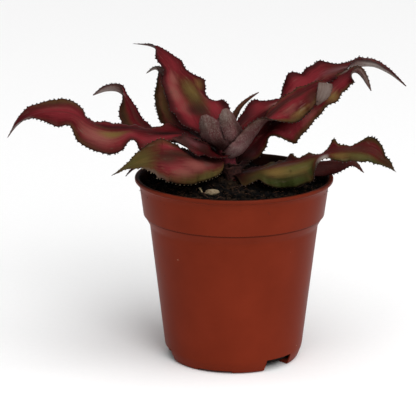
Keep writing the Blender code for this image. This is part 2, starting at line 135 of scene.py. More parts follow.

# Each leaf has its own table, and is named as seen from the front.
#   foot      how far up the stem it starts (0 root, 1 heart), the direction round it in
#             degrees anticlockwise from +X, and the foot's half width and two angles
#   stations  the places that its midrib passes: x, y, z, half width, left and right angle. An
#             angle says how far that half is raised above level, or hangs if negative. Left
#             and right are as seen from the heart, looking out along the leaf.
#   facing    for a leaf that stands nearly upright: the direction that it faces away from the
#             heart, in degrees
#   lobes     where a margin swells out, or draws in if negative: the place and the reach
#             along the leaf as shares of its length, how far out and, if stated, how far up
#   channel   how deep the groove along the midrib is, where it is not the usual depth
#   rim       the pigment that bands both margins; the painted foot shade says how dark the painted shade at the foot is
#   paint     where each pigment covers the plain crimson: how far along (0 foot, 1 tip) and
#             across (-1 left margin, 1 right margin), the reach along and breadth across,
#             as shares too, and the strength
#   fold      a flap of the leaf's tip that has folded over, built like a small blade
LEAVES = {}
LEAVES["left_long"] = dict(
    foot=(0.72, 190, 2.2, 10, 10), rim="brown",
    stations=((-14, -2.5, 100.3, 4.6, 12, 10), (-22, -4, 104, 7.2, 0, 5), (-34, -6, 105, 8.2, -38, 0),
        (-41, -7, 106, 10.5, -42, 0), (-46.5, -8, 107, 11, -8, 0), (-56, -9, 107, 12.5, -48, 10),
        (-64, -10, 110, 11.5, -50, 0), (-71, -10, 114.5, 9.5, -18, 28), (-79, -10, 116, 8, -35, 20),
        (-90, -8, 114, 5, -12, 20), (-97, -7, 109, 2.5, 10, 18), (-101.5, -6, 103, 0.5, 10, 10)),
    left_lobes=((0.735, 0.05, 0.9, -0.4), (0.81, 0.06, -1.4), (0.465, 0.035, 2, -0.3),
        (0.54, 0.06, -0.9), (0.23, 0.07, -3.5)),
    right_lobes=((0.89, 0.1, 3.2, 0.8), (0.76, 0.05, 0.8, 0.6), (0.625, 0.035, -5),
        (0.665, 0.025, -1.8), (0.52, 0.045, -3.2), (0.445, 0.04, -1.2), (0.36, 0.05, 1.2),
        (0.255, 0.045, 2, 2.6)),
    paint=dict(blush=((0.73, 0.05, 0.15, 0.6, 0.9), (0.54, 0.85, 0.08, 0.2, 0.6),
        (0.42, -0.62, 0.13, 0.4, 1), (0.3, -0.45, 0.08, 0.35, 0.8)),
        rose=((0.74, 0.35, 0.08, 0.14, 0.35), (0.55, -0.42, 0.09, 0.34, 0.9),
        (0.46, -0.45, 0.05, 0.25, 0.4)), brown=((0.77, 0.75, 0.1, 0.35, 0.8),
        (0.7, -0.02, 0.14, 0.1, 0.5), (0.52, -1, 0.14, 0.15, 0.8), (0.36, -0.9, 0.05, 0.3, 0.7)),
        olive=((0.53, 0.22, 0.06, 0.16, 0.6), (0.74, 0.9, 0.1, 0.2, 0.6), (0.62, -1, 0.08, 0.16, 0.6)),
        # mauve at 0.42 along the right margin is a pale band of bloom and painted sheen on the rolled
        # top edge
        gold=((0.495, -0.25, 0.06, 0.17, 0.9),), mauve=((0.42, 1, 0.08, 0.1, 0.8),),
        silver=((0.92, -0.8, 0.06, 0.45, 0.6),), dark=((0.44, 0.42, 0.17, 0.3, 0.62),
        (0.39, -0.85, 0.06, 0.25, 0.35), (0.27, 0, 0.1, 0.38, 0.85), (0.16, 0, 0.07, 0.9, 0.5),
        (0.93, 0.3, 0.07, 1, 0.35))))
LEAVES["front_left"] = dict(
    foot=(0.68, 222, 3, -10, 40), rim="olive", foot_shade=0,
    stations=((-6.6, -8, 92, 7.6, -40, 34), (-12, -13, 94, 9, -45, 20), (-21, -22, 98, 11.5, -60, 30),
        (-30, -26, 99, 11.5, -55, 27), (-36, -26, 98.5, 10, -25, 28), (-44, -26, 96, 5.5, -5, 22),
        (-54, -25, 90.5, 0.5, 0, 0)),
    left_lobes=((0.06, 0.085, -5), (0.43, 0.12, 1.6), (0.64, 0.07, -1.5, -0.5), (0.585, 0.012, 1, 0.3),
        (0.635, 0.014, 1.3, -0.3), (0.69, 0.01, 0.9, 0.3)),
    right_lobes=((0.4, 0.09, -2.6, -1.4), (0.62, 0.06, 1.2, 0.6)),
    paint=dict(blush=((0.54, -0.42, 0.07, 0.3, 0.8), (0.52, 0.72, 0.1, 0.26, 0.9)),
        rose=((0.08, 0.2, 0.1, 0.9, 0.7), (0.22, -0.1, 0.09, 0.45, 0.9), (0.36, -0.38, 0.12, 0.32, 0.9),
        (0.47, -0.65, 0.09, 0.25, 0.85), (0.5, 0.75, 0.05, 0.15, 0.45)),
        brown=((0.44, 0.25, 0.2, 0.34, 1), (0.57, -0.05, 0.08, 0.35, 1)),
        olive=((0.35, -0.95, 0.25, 0.3, 1), (0.75, 0, 0.1, 1.6, 0.85), (0.68, -1, 0.1, 0.25, 1)),
        lime=((0.22, -0.88, 0.16, 0.26, 0.7), (0.84, 0, 0.15, 1.5, 0.9)),
        gold=((0.1, -0.75, 0.08, 0.35, 0.4), (0.77, -0.1, 0.07, 0.4, 0.5)),
        ash=((0.25, -0.3, 0.04, 0.15, 0.45), (0.67, -1, 0.09, 0.16, 0.75)),
        dark=((0.52, 0.15, 0.16, 0.14, 0.4), (0.74, 0.97, 0.12, 0.16, 0.4), (0.64, -1, 0.08, 0.15, 0.3),
        (1, 0, 0.07, 2, 0.7))))
LEAVES["rear_left"] = dict(
    foot=(0.63, 156, 1.8, 0, 0), rim="dark",
    stations=((-20, 8.5, 97, 4.5, 0, 0), (-30, 13, 99.5, 6, 0, 0), (-39.5, 17, 101, 7.5, 0, 0),
        (-45, 20, 104.5, 7.5, 0, 0), (-48, 23, 110, 5.5, 0, 10), (-51, 25, 116, 2.5, 10, 20),
        (-54, 25, 118, 3.5, 65, 50), (-59, 25, 118, 2.8, 75, 60), (-65, 24, 116, 0.5, 60, 60)),
    left_lobes=((0.71, 0.07, 1.3), (0.61, 0.05, 1.3)),
    right_lobes=((0.69, 0.08, -2.6), (0.83, 0.02, 1.3, 0.3), (0.58, 0.06, -1)),
    paint=dict(brown=((0.66, 0.3, 0.15, 0.3, 0.6),), olive=((0.68, -0.75, 0.16, 0.36, 0.8),),
        silver=((0.93, 0, 0.1, 0.75, 0.8),), dark=((0.7, -0.8, 0.16, 0.35, 0.7),
        (0.55, 0.5, 0.2, 0.4, 0.4))))
LEAVES["rear_inner_left"] = dict(
    foot=(0.81, 128, 1.8, 0, 0), rim="green",
    stations=((-15, 13, 100, 7, 0, 0), (-23, 22, 104, 11, 0, 0), (-28, 30, 111, 9.5, 0, 0),
        (-32, 36, 120, 5.6, 0, 0), (-36.4, 39, 125.4, 2.3, 40, 30), (-41, 40, 123.2, 0.4, 40, 40)),
    paint=dict(blush=((0.4, -0.6, 0.14, 0.5, 0.9), (0.72, -0.3, 0.1, 0.2, 0.5)),
        rose=((0.66, -0.52, 0.26, 0.25, 1),), brown=((0.62, 0.05, 0.25, 0.5, 0.9),),
        gold=((0.63, -0.58, 0.16, 0.2, 0.75), (0.75, -0.45, 0.06, 0.25, 0.45)),
        silver=((0.97, 0, 0.08, 0.9, 1),), dark=((0.55, -1, 0.3, 0.2, 0.6),)))
LEAVES["rear_tall"] = dict(
    foot=(0.93, 124, 2, 10, 10), rim="dark",
    stations=((-7.3, 3.3, 100.5, 4.3, 10, 10), (-10, 7, 105, 9.5, 10, 10), (-14, 12, 110, 13, 10, 28),
        (-20, 20, 117, 12, 0, -18), (-25, 27, 123, 11.5, -10, 0), (-29, 31, 129, 7.5, 0, 0),
        (-33, 34, 134, 5, 0, 0), (-38, 35, 137, 3, 20, 0), (-47, 34, 138.4, 0.5, 20, 0)),
    left_lobes=((0.8, 0.07, 3.8), (0.89, 0.04, 1.2), (0.66, 0.09, -2.6), (0.54, 0.05, -1.8),
        (0.3, 0.1, 4.2), (0.19, 0.07, 4.6)),
    right_lobes=((0.64, 0.06, -3.4), (0.7, 0.03, 1.4, 0.3), (0.56, 0.028, 1.3, 0.8),
        (0.3, 0.06, -1, -0.8)),
    paint=dict(blush=((0.3, 0.52, 0.1, 0.28, 0.95), (0.42, -0.6, 0.3, 0.32, 1),
        (0.7, 0.1, 0.1, 0.6, 0.6)), rose=((0.48, -0.62, 0.1, 0.26, 1), (0.34, -0.5, 0.08, 0.2, 0.6),
        (0.6, -0.4, 0.06, 0.24, 0.9), (0.45, 0.62, 0.06, 0.12, 0.5)),
        brown=((0.31, -0.02, 0.09, 0.28, 1),), olive=((0.45, 0.12, 0.13, 0.45, 1),),
        gold=((0.48, 0.2, 0.08, 0.35, 0.55), (0.53, 0.75, 0.04, 0.25, 0.55)),
        silver=((0.95, 0, 0.06, 0.7, 0.6),), dark=((0.31, 0, 0.07, 0.25, 0.5),
        (0.31, -0.28, 0.05, 0.22, 0.55), (0.46, -1, 0.16, 0.1, 0.75), (0.27, 0.92, 0.12, 0.16, 0.7),
        (0.75, 0.6, 0.12, 0.4, 0.3))))
LEAVES["centre_spike"] = dict(
    foot=(0.98, 40, 1.5, 10, 10), facing=50, rim="olive",
    stations=((-1.9, 1.5, 103, 1.6, 20, 20), (-0.4, 3, 108.4, 1.9, 20, 20),
        (2.6, 5, 114.3, 1.5, 30, 30), (6.9, 7.5, 118.2, 1, 30, 30), (11.2, 9.5, 120.7, 0.4, 30, 30)),
    paint=dict(brown=((0.5, 0, 0.5, 1, 1),), olive=((0.7, 0, 0.3, 1.5, 0.5),),
        dark=((0.5, 0.8, 0.5, 0.5, 0.5), (0.5, -0.3, 0.5, 0.9, 0.3))))
LEAVES["heart_left"] = dict(
    foot=(0.86, 238, 4, 25, 25), facing=245, rim="mauve", foot_shade=0.4,
    stations=((-8.8, -8, 101, 6.2, 18, 16), (-11.4, -9, 106.5, 5.2, 16, 18),
        (-13, -8.6, 111, 3.7, 14, 18), (-13.8, -7.4, 113.9, 1.3, 10, 12)),
    left_lobes=((0.78, 0.16, 1.5), (0.4, 0.12, -0.6)),
    right_lobes=((0.34, 0.16, 2.2),),
    paint=dict(brown=((0.85, -0.85, 0.25, 0.5, 0.7),), mauve=((0.55, 0.35, 0.16, 0.9, 0.6),),
        ash=((0.85, 0.4, 0.2, 0.9, 0.95),), silver=((0.95, 0, 0.1, 1, 0.15),),
        dark=((0.5, -1, 0.3, 0.14, 0.8), (0.28, 0, 0.24, 1.5, 0.8))))
LEAVES["heart_right"] = dict(
    foot=(0.97, 304, 2.2, 20, 20), facing=280, rim="mauve", foot_shade=0.4,
    stations=((-0.6, -7, 103, 5, 18, 20), (-1.6, -7.5, 109, 4.3, 16, 20),
        (-3, -6.9, 113.6, 3.1, 14, 18), (-4, -5.6, 116.6, 1.2, 10, 12)),
    left_lobes=((0.7, 0.3, -0.4),),
    right_lobes=((0.8, 0.16, 1.1),),
    paint=dict(mauve=((0.48, 0.3, 0.24, 0.8, 0.7),), ash=((0.85, 0.3, 0.22, 1.1, 0.95),),
        silver=((0.9, 0, 0.15, 1, 0.15),), dark=((0.5, -0.8, 0.3, 0.45, 0.65), (0.3, 1, 0.3, 0.12, 0.7),
        (0.08, 0, 0.08, 1.5, 0.5))))
LEAVES["right_long"] = dict(
    foot=(0.88, 42, 2, 10, 10), rim="dark",
    stations=((1.2, 4.3, 101, 3.2, 15, 0), (6, 10, 106, 8.5, 50, -35), (13, 14, 110, 10, 32, 0),
        (24, 20, 115.5, 9, -5, 5), (30.5, 23, 119, 11, 45, 8), (36, 25.5, 122, 10, 27, 5),
        (41, 28, 125, 9, 33, 0), (50, 30, 128, 6, 8, 0), (57, 30, 129, 4.5, 40, 45),
        (64, 30, 129, 3.5, 50, 45), (71, 29, 126, 2, 50, 45), (79, 27, 120, 0.5, 50, 50)),
    left_lobes=((0.67, 0.02, 0.9, 0.3), (0.722, 0.02, -1.3), (0.765, 0.012, 0.8, 0.3),
        (0.618, 0.02, 1.4, 0.4), (0.585, 0.02, -1, -0.3), (0.525, 0.035, -1.9), (0.44, 0.025, -1.3),
        (0.37, 0.035, -2.6), (0.175, 0.065, -3.9)),
    right_lobes=((0.65, 0.09, 3.8),),
    paint=dict(blush=((0.5, -0.3, 0.13, 0.5, 0.95), (0.24, -0.5, 0.08, 0.35, 0.8)),
        rose=((0.37, -0.12, 0.08, 0.25, 1), (0.61, 0.3, 0.07, 0.3, 0.5), (0.8, -0.9, 0.08, 0.35, 0.9)),
        brown=((0.67, 0, 0.06, 1, 0.6),), mauve=((0.37, -0.12, 0.07, 0.2, 0.5),
        (0.5, 0.02, 0.1, 0.08, 0.5), (0.66, 0, 0.08, 0.35, 0.6)),
        silver=((0.37, -0.17, 0.06, 0.16, 0.25), (0.82, 0.6, 0.07, 0.35, 0.8),
        (0.89, 0.25, 0.15, 0.5, 1)), dark=((0.175, -0.62, 0.08, 0.45, 0.75),
        (0.24, 0.35, 0.1, 0.45, 0.7), (0.3, -0.57, 0.05, 0.2, 0.3), (0.42, 0.7, 0.12, 0.35, 0.4))))
LEAVES["right_middle"] = dict(
    foot=(0.75, 184, 4.8, 0, 85), facing=0, rim="olive", foot_shade=0,
    stations=((-1.4, -5.8, 93.9, 5.4, 0, 76), (3, -7.6, 96.6, 7.2, 0, 75), (6.3, -7.4, 100.3, 7, 0, 75),
        (9.4, -6, 104.6, 6.5, 0, 65), (14.5, -2, 110.5, 8, 0, 0), (23, 1, 117, 9, 10, -55),
        (32, 2.5, 122.5, 8, 10, -50), (37.5, 2.8, 125.6, 4.6, 10, -30), (41.2, 2.2, 126.9, 1.6, 5, 0)),
    right_lobes=((0.66, 0.16, 1.5),),
    paint=dict(blush=((0.54, 0.5, 0.07, 0.4, 1), (0.7, 0.15, 0.18, 0.2, 0.9),
        (0.66, -0.85, 0.15, 0.3, 0.8)), rose=((0.66, 0.42, 0.08, 0.2, 0.6),),
        brown=((0.58, -0.4, 0.25, 0.35, 0.65), (0.55, 0.05, 0.16, 0.1, 0.6),
        (0.79, -0.05, 0.07, 0.2, 0.7), (0.86, 0.6, 0.06, 0.5, 0.8)),
        olive=((0.64, 0.97, 0.24, 0.2, 0.9),), gold=((0.72, 0.74, 0.08, 0.14, 0.7),),
        mauve=((0.16, 0.3, 0.18, 1.2, 1),), silver=((0.16, 0.45, 0.08, 0.45, 0.22),
        (0.75, 0.6, 0.05, 0.14, 0.18)), dark=((0.3, 0.3, 0.07, 1, 0.35),
        (0.56, -0.57, 0.08, 0.25, 0.25))),
    fold=dict(
        facing=-90, channel=0, rim="ash", foot_shade=0,
        stations=((40.8, 0.7, 126.9, 3, 0, 0), (40.5, -0.9, 125.2, 3.1, -10, 10),
            (39.6, -1.9, 122.4, 2.8, -12, 12), (38.2, -2.2, 119.8, 1.7, -10, 10),
            (36.9, -2.2, 117.4, 0.4, 0, 0)),
        paint=dict(ash=((0.4, 0, 1.2, 2, 1),), silver=((0.35, 0, 0.6, 1.6, 0.25),))))
LEAVES["right_under"] = dict(
    foot=(0.66, 14, 2, 0, 0), rim="olive",
    stations=((7, 3, 96.5, 7, 40, -60), (11, 4, 99.5, 7, 42, -45), (14.5, 5, 102.5, 7, 38, 0),
        (20, 6, 106.5, 11, 15, -68), (27, 7, 111, 11, -5, -62), (34, 8, 115.5, 9, -8, -60),
        (39, 9, 119, 7, -8, -40), (44.5, 10.5, 122.5, 8, 3, -55), (51, 11, 127, 7, 15, -48),
        (53.5, 10.5, 130, 4, 20, 0), (55.6, 10, 129.9, 3.1, 40, 60), (57.8, 9, 127.8, 2.5, 40, 75),
        (59.6, 8, 125, 1.7, 40, 75), (61.6, 7, 122, 0.4, 40, 60)),
    left_lobes=((0.76, 0.08, 2.6),),
    right_lobes=((0.79, 0.03, -2.6), (0.735, 0.05, -3.6), (0.835, 0.03, 1.7), (0.2, 0.09, -2),
        (0.295, 0.03, -2.8), (0.352, 0.02, 2), (0.52, 0.12, -1.8)),
    paint=dict(blush=((0.34, 0.55, 0.1, 0.3, 1), (0.5, 0.5, 0.12, 0.5, 1), (0.42, 0.4, 0.1, 0.5, 1),
        (0.77, 0.1, 0.07, 0.6, 0.9)), rose=((0.66, 0.12, 0.05, 0.3, 0.9),
        (0.51, 0.55, 0.06, 0.25, 0.8)), brown=((0.5, 0.97, 0.3, 0.16, 0.8),),
        gold=((0.665, 0.62, 0.045, 0.3, 0.8),), ash=((0.93, 0, 0.07, 0.9, 1),),
        silver=((0.8, -0.85, 0.03, 0.12, 0.5), (0.94, 0, 0.06, 1, 0.35)),
        dark=((0.1, 0.3, 0.12, 0.8, 0.8), (0.93, 0, 0.06, 1, 0.15))))
LEAVES["front_right"] = dict(
    foot=(0.43, 300, 2, 10, 0), rim="green",
    stations=((10, -12, 89.5, 7, 0, -20), (19, -16, 93, 11, 0, -62), (27, -18, 95, 12, 5, -64),
        (34, -19, 97.3, 11, 0, -58), (38.5, -20.7, 98.8, 7.5, 0, -20), (44, -22, 101, 8, 18, -25),
        (52, -24, 102, 9, 2, -22), (60, -26, 101, 8, 55, -20), (66.5, -28, 97.5, 4.5, 60, -10),
        (71, -28, 93.2, 0.5, 0, 0)),
    left_lobes=((0.4, 0.12, -6.5), (0.345, 0.03, 4, 1.6), (0.465, 0.014, 2, 0.8),
        (0.612, 0.015, 2.2, 1.2), (0.585, 0.022, 1.2, 0.5), (0.645, 0.03, -2.4), (0.69, 0.025, -1.2),
        (0.76, 0.03, 1.2, 0.4), (0.9, 0.06, -3), (0.17, 0.055, 6, 1.2)),
    right_lobes=((0.12, 0.045, 3.2, -2.6), (0.19, 0.025, -2), (0.42, 0.07, -0.8), (0.585, 0.055, -3.6),
        (0.8, 0.1, -1.5)),
    paint=dict(brown=((0.37, 0.03, 0.18, 0.14, 0.9), (0.35, -0.38, 0.1, 0.3, 0.8),
        (0.46, -0.6, 0.12, 0.6, 0.75), (0.72, -0.2, 0.16, 0.5, 0.8)),
        olive=((0.18, 0.4, 0.09, 0.6, 0.9), (0.19, -0.7, 0.06, 0.3, 0.9), (0.22, -0.2, 0.1, 0.25, 0.9),
        (0.77, 0.6, 0.15, 0.45, 1), (0.95, 0, 0.08, 1.5, 0.8)), green=((0.33, 0.82, 0.22, 0.4, 1),
        (0.47, 0.6, 0.05, 0.5, 0.9), (0.86, 0.9, 0.12, 0.3, 0.8)), lime=((0.38, 0.34, 0.13, 0.28, 1),
        (0.77, 0.6, 0.08, 0.25, 0.6)), gold=((0.29, 0.36, 0.07, 0.2, 0.9),
        (0.36, 0.46, 0.12, 0.08, 0.5), (0.66, 0.62, 0.06, 0.3, 0.6)),
        mauve=((0.33, 0.06, 0.16, 0.08, 0.4),), silver=((0.56, 0.75, 0.028, 0.5, 0.85),),
        # dark: the line at 0.34 along and 0.66 across is painted shade in the crease; the patches at 0.3
        # along, -0.6 across and at 0.1 by the foot are painted shade
        dark=((0.34, 0.66, 0.15, 0.07, 0.4), (0.36, 0.03, 0.19, 0.13, 0.35),
        (0.3, -0.6, 0.14, 0.4, 0.8), (0.365, 0.42, 0.008, 0.05, 0.6), (0.1, 0.15, 0.09, 1, 0.75),
        (0.95, 0.1, 0.08, 1.5, 0.55))))
LEAVES["low_right"] = dict(
    foot=(0.42, 356, 1.8, 10, 10), rim="dark",
    stations=((15, 2, 88, 7, 10, 10), (28, 5, 88.5, 8, -8, -10), (39, 5, 89.3, 7.4, -12, -45),
        (45, 5, 89.6, 6, -8, -55), (54, 4.5, 89.6, 3.2, 5, -20), (59, 3, 85, 0.4, 0, 0)),
    left_lobes=((0.24, 0.14, -4.2, -0.6),),
    paint=dict(brown=((0.5, 0, 0.5, 1.5, 0.7), (0.93, 0, 0.12, 1.5, 1)),
        dark=((0.6, 0.3, 0.3, 0.8, 0.6), (0.79, 0.57, 0.12, 0.8, 0.6), (0.15, -0.5, 0.15, 1, 0.7))))
LEAVES["low_left"] = dict(
    foot=(0.42, 182, 2.2, 10, 10), rim="dark",
    stations=((-15, 0, 88.5, 4.5, 10, -10), (-27, 0, 90.5, 6, 10, 0), (-38, -1, 90, 4, 10, 10),
        (-45, -2, 88, 2, 10, 10), (-49, -3, 84.5, 0.4, 10, 10)),
    paint=dict(blush=((0.7, 0, 0.2, 0.5, 0.3),), dark=((0.5, 0, 0.5, 1.5, 0.3),)))
LEAVES["heart_side"] = dict(
    foot=(0.8, 226, 4, 20, 20), rim="dark",
    stations=((-8.5, -8.8, 95, 6.5, 10, 40), (-14, -11.5, 97.6, 6.8, 0, 45),
        (-21, -15, 101.4, 5.2, 0, 40), (-27.2, -17, 105.2, 1.2, 10, 30)),
    left_lobes=((0.83, 0.1, -2.4), (0.66, 0.09, 1.8, -1.3)),
    right_lobes=((0.8, 0.09, 2.2, 0.6), (0.56, 0.1, -0.8)),
    paint=dict(brown=((0.45, 0.3, 0.15, 0.6, 0.8),), mauve=((0.6, 0.7, 0.2, 0.4, 0.5),),
        ash=((0.85, 0.1, 0.2, 1.2, 0.55),), dark=((0.4, -0.3, 0.28, 1.2, 0.75),
        (0.42, 0.55, 0.14, 0.5, 0.6), (0.8, 0, 0.3, 1.2, 0.6), (0.88, 0.8, 0.1, 0.45, 0.75))))
LEAVES["back_centre"] = dict(
    foot=(0.57, 92, 1.6, 10, 10), rim="olive",
    stations=((-6, 15, 94, 6, 10, 10), (-9, 26, 97, 10, 0, 0), (-12, 38, 98, 10, -10, -20),
        (-14, 50, 95, 6, 0, 0), (-15, 62, 86, 0.5, 0, 0)),
    paint=dict(blush=((0.5, 0.4, 0.2, 0.4, 0.8),), olive=((0.55, -0.1, 0.22, 0.25, 0.8),),
        green=((0.9, 0, 0.1, 1.5, 0.6),), ash=((0.7, -0.5, 0.15, 0.3, 0.4),)))
LEAVES["back_right"] = dict(
    foot=(0.45, 55, 2.2, 10, 10), rim="olive",
    stations=((3, 13, 88.5, 5, 0, 0), (5, 24, 90, 6, 0, 0), (6, 36, 90.5, 5, 0, 0),
        (7, 46, 88.5, 3, 0, 0), (7.5, 54, 85.5, 0.5, 0, 0)),
    paint=dict(blush=((0.5, -0.3, 0.25, 0.5, 0.6),), olive=((0.6, 0.4, 0.2, 0.4, 0.6),)))
LEAVES["back_left"] = dict(
    foot=(0.53, 146, 1.8, 10, 10), rim="olive",
    stations=((-15, 13, 88.5, 5, 0, 0), (-24, 21, 89, 6, 0, 0), (-31, 28, 88.5, 5, 0, 0),
        (-36, 33, 87, 2.5, 0, 0), (-38, 35, 86, 0.4, 0, 0)),
    paint=dict(blush=((0.45, 0.3, 0.2, 0.5, 0.5),), dark=((0.6, 0, 0.3, 1, 0.3),)))

# --- studio: metres, radians and watts -------------------------------------------------------
FLOOR_SIZE = 8.0
FLOOR_Z = -0.0002       # just under the pot's foot
CAMERA_PLACE = (0.0, -0.8923, 0.3117)
CAMERA_TURN = (math.pi / 2 - 0.2655, 0.0, 0.0132)
CAMERA_LENS = 175.9     # millimetres, on a sensor 36 mm wide
AMBIENT = 0.22
SUN_TURN = (0.42, 0.22, 0.0)    # a wide overhead softbox, far enough off to light evenly
SUN_STRENGTH = 2.55
SUN_ANGLE = math.radians(70)
LAMP_TARGET = (0.0, 0.0, 0.08)
LAMPS = (               # place, width and power of each soft box
    ("key_softbox", (0.30, -0.85, 0.62), 0.45, 3.6),
    ("left_fill", (-0.9, 0.25, 0.35), 0.5, 0.6),
    ("right_fill", (0.9, 0.35, 0.35), 0.5, 0.5),
)


# --- small tools ---------------------------------------------------------------------------

def linear(colour):
    """An sRGB hex colour as linear red, green, blue and alpha."""
    channels = [int(colour[i:i + 2], 16) / 255 for i in (1, 3, 5)]
    return (*(c / 12.92 if c <= 0.04045 else ((c + 0.055) / 1.055) ** 2.4 for c in channels), 1.0)


def node(tree, kind, inputs=(), take=0, **settings):
    """Adds a node with its settings, values and links, and gives one of its outputs.

    Its kind goes without the family's name, and a hex colour stands for its linear values.
    """
    families = ("ShaderNode", "GeometryNode", "FunctionNode")
    made = tree.nodes.new(next(f + kind for f in families if hasattr(bpy.types, f + kind)))
    for setting, value in settings.items():
        setattr(made, setting, value)
    for key, value in dict(inputs).items():
        if isinstance(value, bpy.types.NodeSocket):
            tree.links.new(value, made.inputs[key])
        else:
            is_colour = isinstance(value, str) and value.startswith("#")
            made.inputs[key].default_value = linear(value) if is_colour else value
    return made.outputs[take] if len(made.outputs) else made


def smooth_step(values, low, high):
    share = np.clip((values - low) / (high - low), 0.0, 1.0)
    return share * share * (3.0 - 2.0 * share)


def unit(vectors):
    """The rows of an array, each made one long."""
    return vectors / np.linalg.norm(vectors, axis=-1, keepdims=True)


def run_length(line):
    """How far each point of a line is from its start, measured along the line."""
    return np.concatenate([[0.0], np.cumsum(np.linalg.norm(np.diff(line, axis=0), axis=1))])


def mesh_object(name, points, faces):
    """A new smooth object from points in millimetres."""
    mesh = bpy.data.meshes.new(name)
    mesh.from_pydata(np.asarray(points, dtype=float) * MM, [], faces)
    mesh.shade_smooth()
    made = bpy.data.objects.new(name, mesh)
    bpy.context.scene.collection.objects.link(made)
    return made


def lattice(rows, columns, closed=True, first=0):
    """The faces of a lattice of points, kept row by row. Each row of a closed one is a ring."""
    faces = []
    for start in range(first, first + (rows - 1) * columns, columns):
        for k in range(columns if closed else columns - 1):
            a, b = start + k, start + (k + 1) % columns
            faces.append((a, b, b + columns, a + columns))
    return faces


def fan(start, steps, hub, order=1):
    """The faces that close a ring of points with one point in its middle."""
    return [(start + k, start + (k + 1) % steps, hub)[::order] for k in range(steps)]


def evaluated_mesh(thing):
    """The mesh that a piece has once its modifiers have worked on it."""
    return bpy.data.meshes.new_from_object(thing.evaluated_get(bpy.context.evaluated_depsgraph_get()))


def settle(thing):
    """Makes what a piece's modifiers show its plain mesh, and takes them away."""
    mesh = evaluated_mesh(thing)
    thing.modifiers.clear()
    mesh.name = thing.name
    thing.data = mesh


def store(thing, name, values, kind="FLOAT"):
    """Keeps one value for each point of a mesh under a name that a material or a tree reads."""
    layer = thing.data.attributes.new(name, kind, "POINT")
    flat = np.asarray(values, dtype=np.float32).ravel()
    layer.data.foreach_set("vector" if kind == "FLOAT_VECTOR" else "value", flat)


def grow(thing, tree, **inputs):
    """Runs a Geometry Nodes tree on a piece and keeps what it makes as the piece's plain mesh."""
    step = thing.modifiers.new(tree.name, "NODES")
    step.node_group = tree
    sockets = {item.name: item.identifier for item in tree.interface.items_tree
               if item.item_type == "SOCKET" and item.in_out == "INPUT"}
    for key, value in inputs.items():
        step[sockets[key.replace("_", " ")]] = value
    settle(thing)


def finished(piece, node_name):
    """Hangs a piece on the root body and hides the CAD node that it stands for."""
    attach(piece, "root")
    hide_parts(node_name)


# --- materials -----------------------------------------------------------------------------

COLOURS = dict(take=2, data_type="RGBA")    # makes a Mix node mix colours and give its colour


def per(size):
    """The scale of a pattern whose features are so many millimetres apart."""
    return 1.0 / (size * MM)


def new_finish(name):
    """A new material, and the way to add a node to it."""
    finish = bpy.data.materials.new(name)
    finish.use_nodes = True
    finish.node_tree.nodes.clear()
    return finish, partial(node, finish.node_tree)


def surface(add, colour, roughness, height, strength, depth, **fixed):
    """Ends a material: its relief, depth in millimetres, and its shader with what is fixed."""
    bump = add("Bump", {"Strength": strength, "Distance": depth * MM, "Height": height})
    inputs = {"Base Color": colour, "Normal": bump, "Roughness": roughness}
    inputs.update((key.replace("_", " "), value) for key, value in fixed.items())
    add("OutputMaterial", {"Surface": add("BsdfPrincipled", inputs)})


# The pigments, in the order in which each lies over the ones before. The last two lie over
# the underside as well.
PIGMENTS = {
    "blush": "#6E2026",     # clear crimson, where the blade is thin
    "rose": "#743F39",      # salmon pink, where the green under it fades out
    "brown": "#3E2019",     # red and green together
    "olive": "#423219",     # green with a little red left over it
    "green": "#303516",     # the blade's own green, with no red over it
    "lime": "#4B4522",      # paler green, where the blade is young or thin
    "gold": "#65502A",      # yellow-green, where the green has faded
    "mauve": "#6C4548",     # a thin bloom of scales over crimson
    "ash": "#57463F",       # a thicker bloom, which hides the red
    "silver": "#908680",    # scales so thick that they hide the blade
    # dark is also laid as painted shade: at each leaf's foot, in creases, and on parts that other leaves
    # shade.
    "dark": "#1A0A09",      # nearly black, where crimson is densest
}
LAID_LAST = ("silver", "dark")
BLOOMS = ("mauve", "ash", "silver")


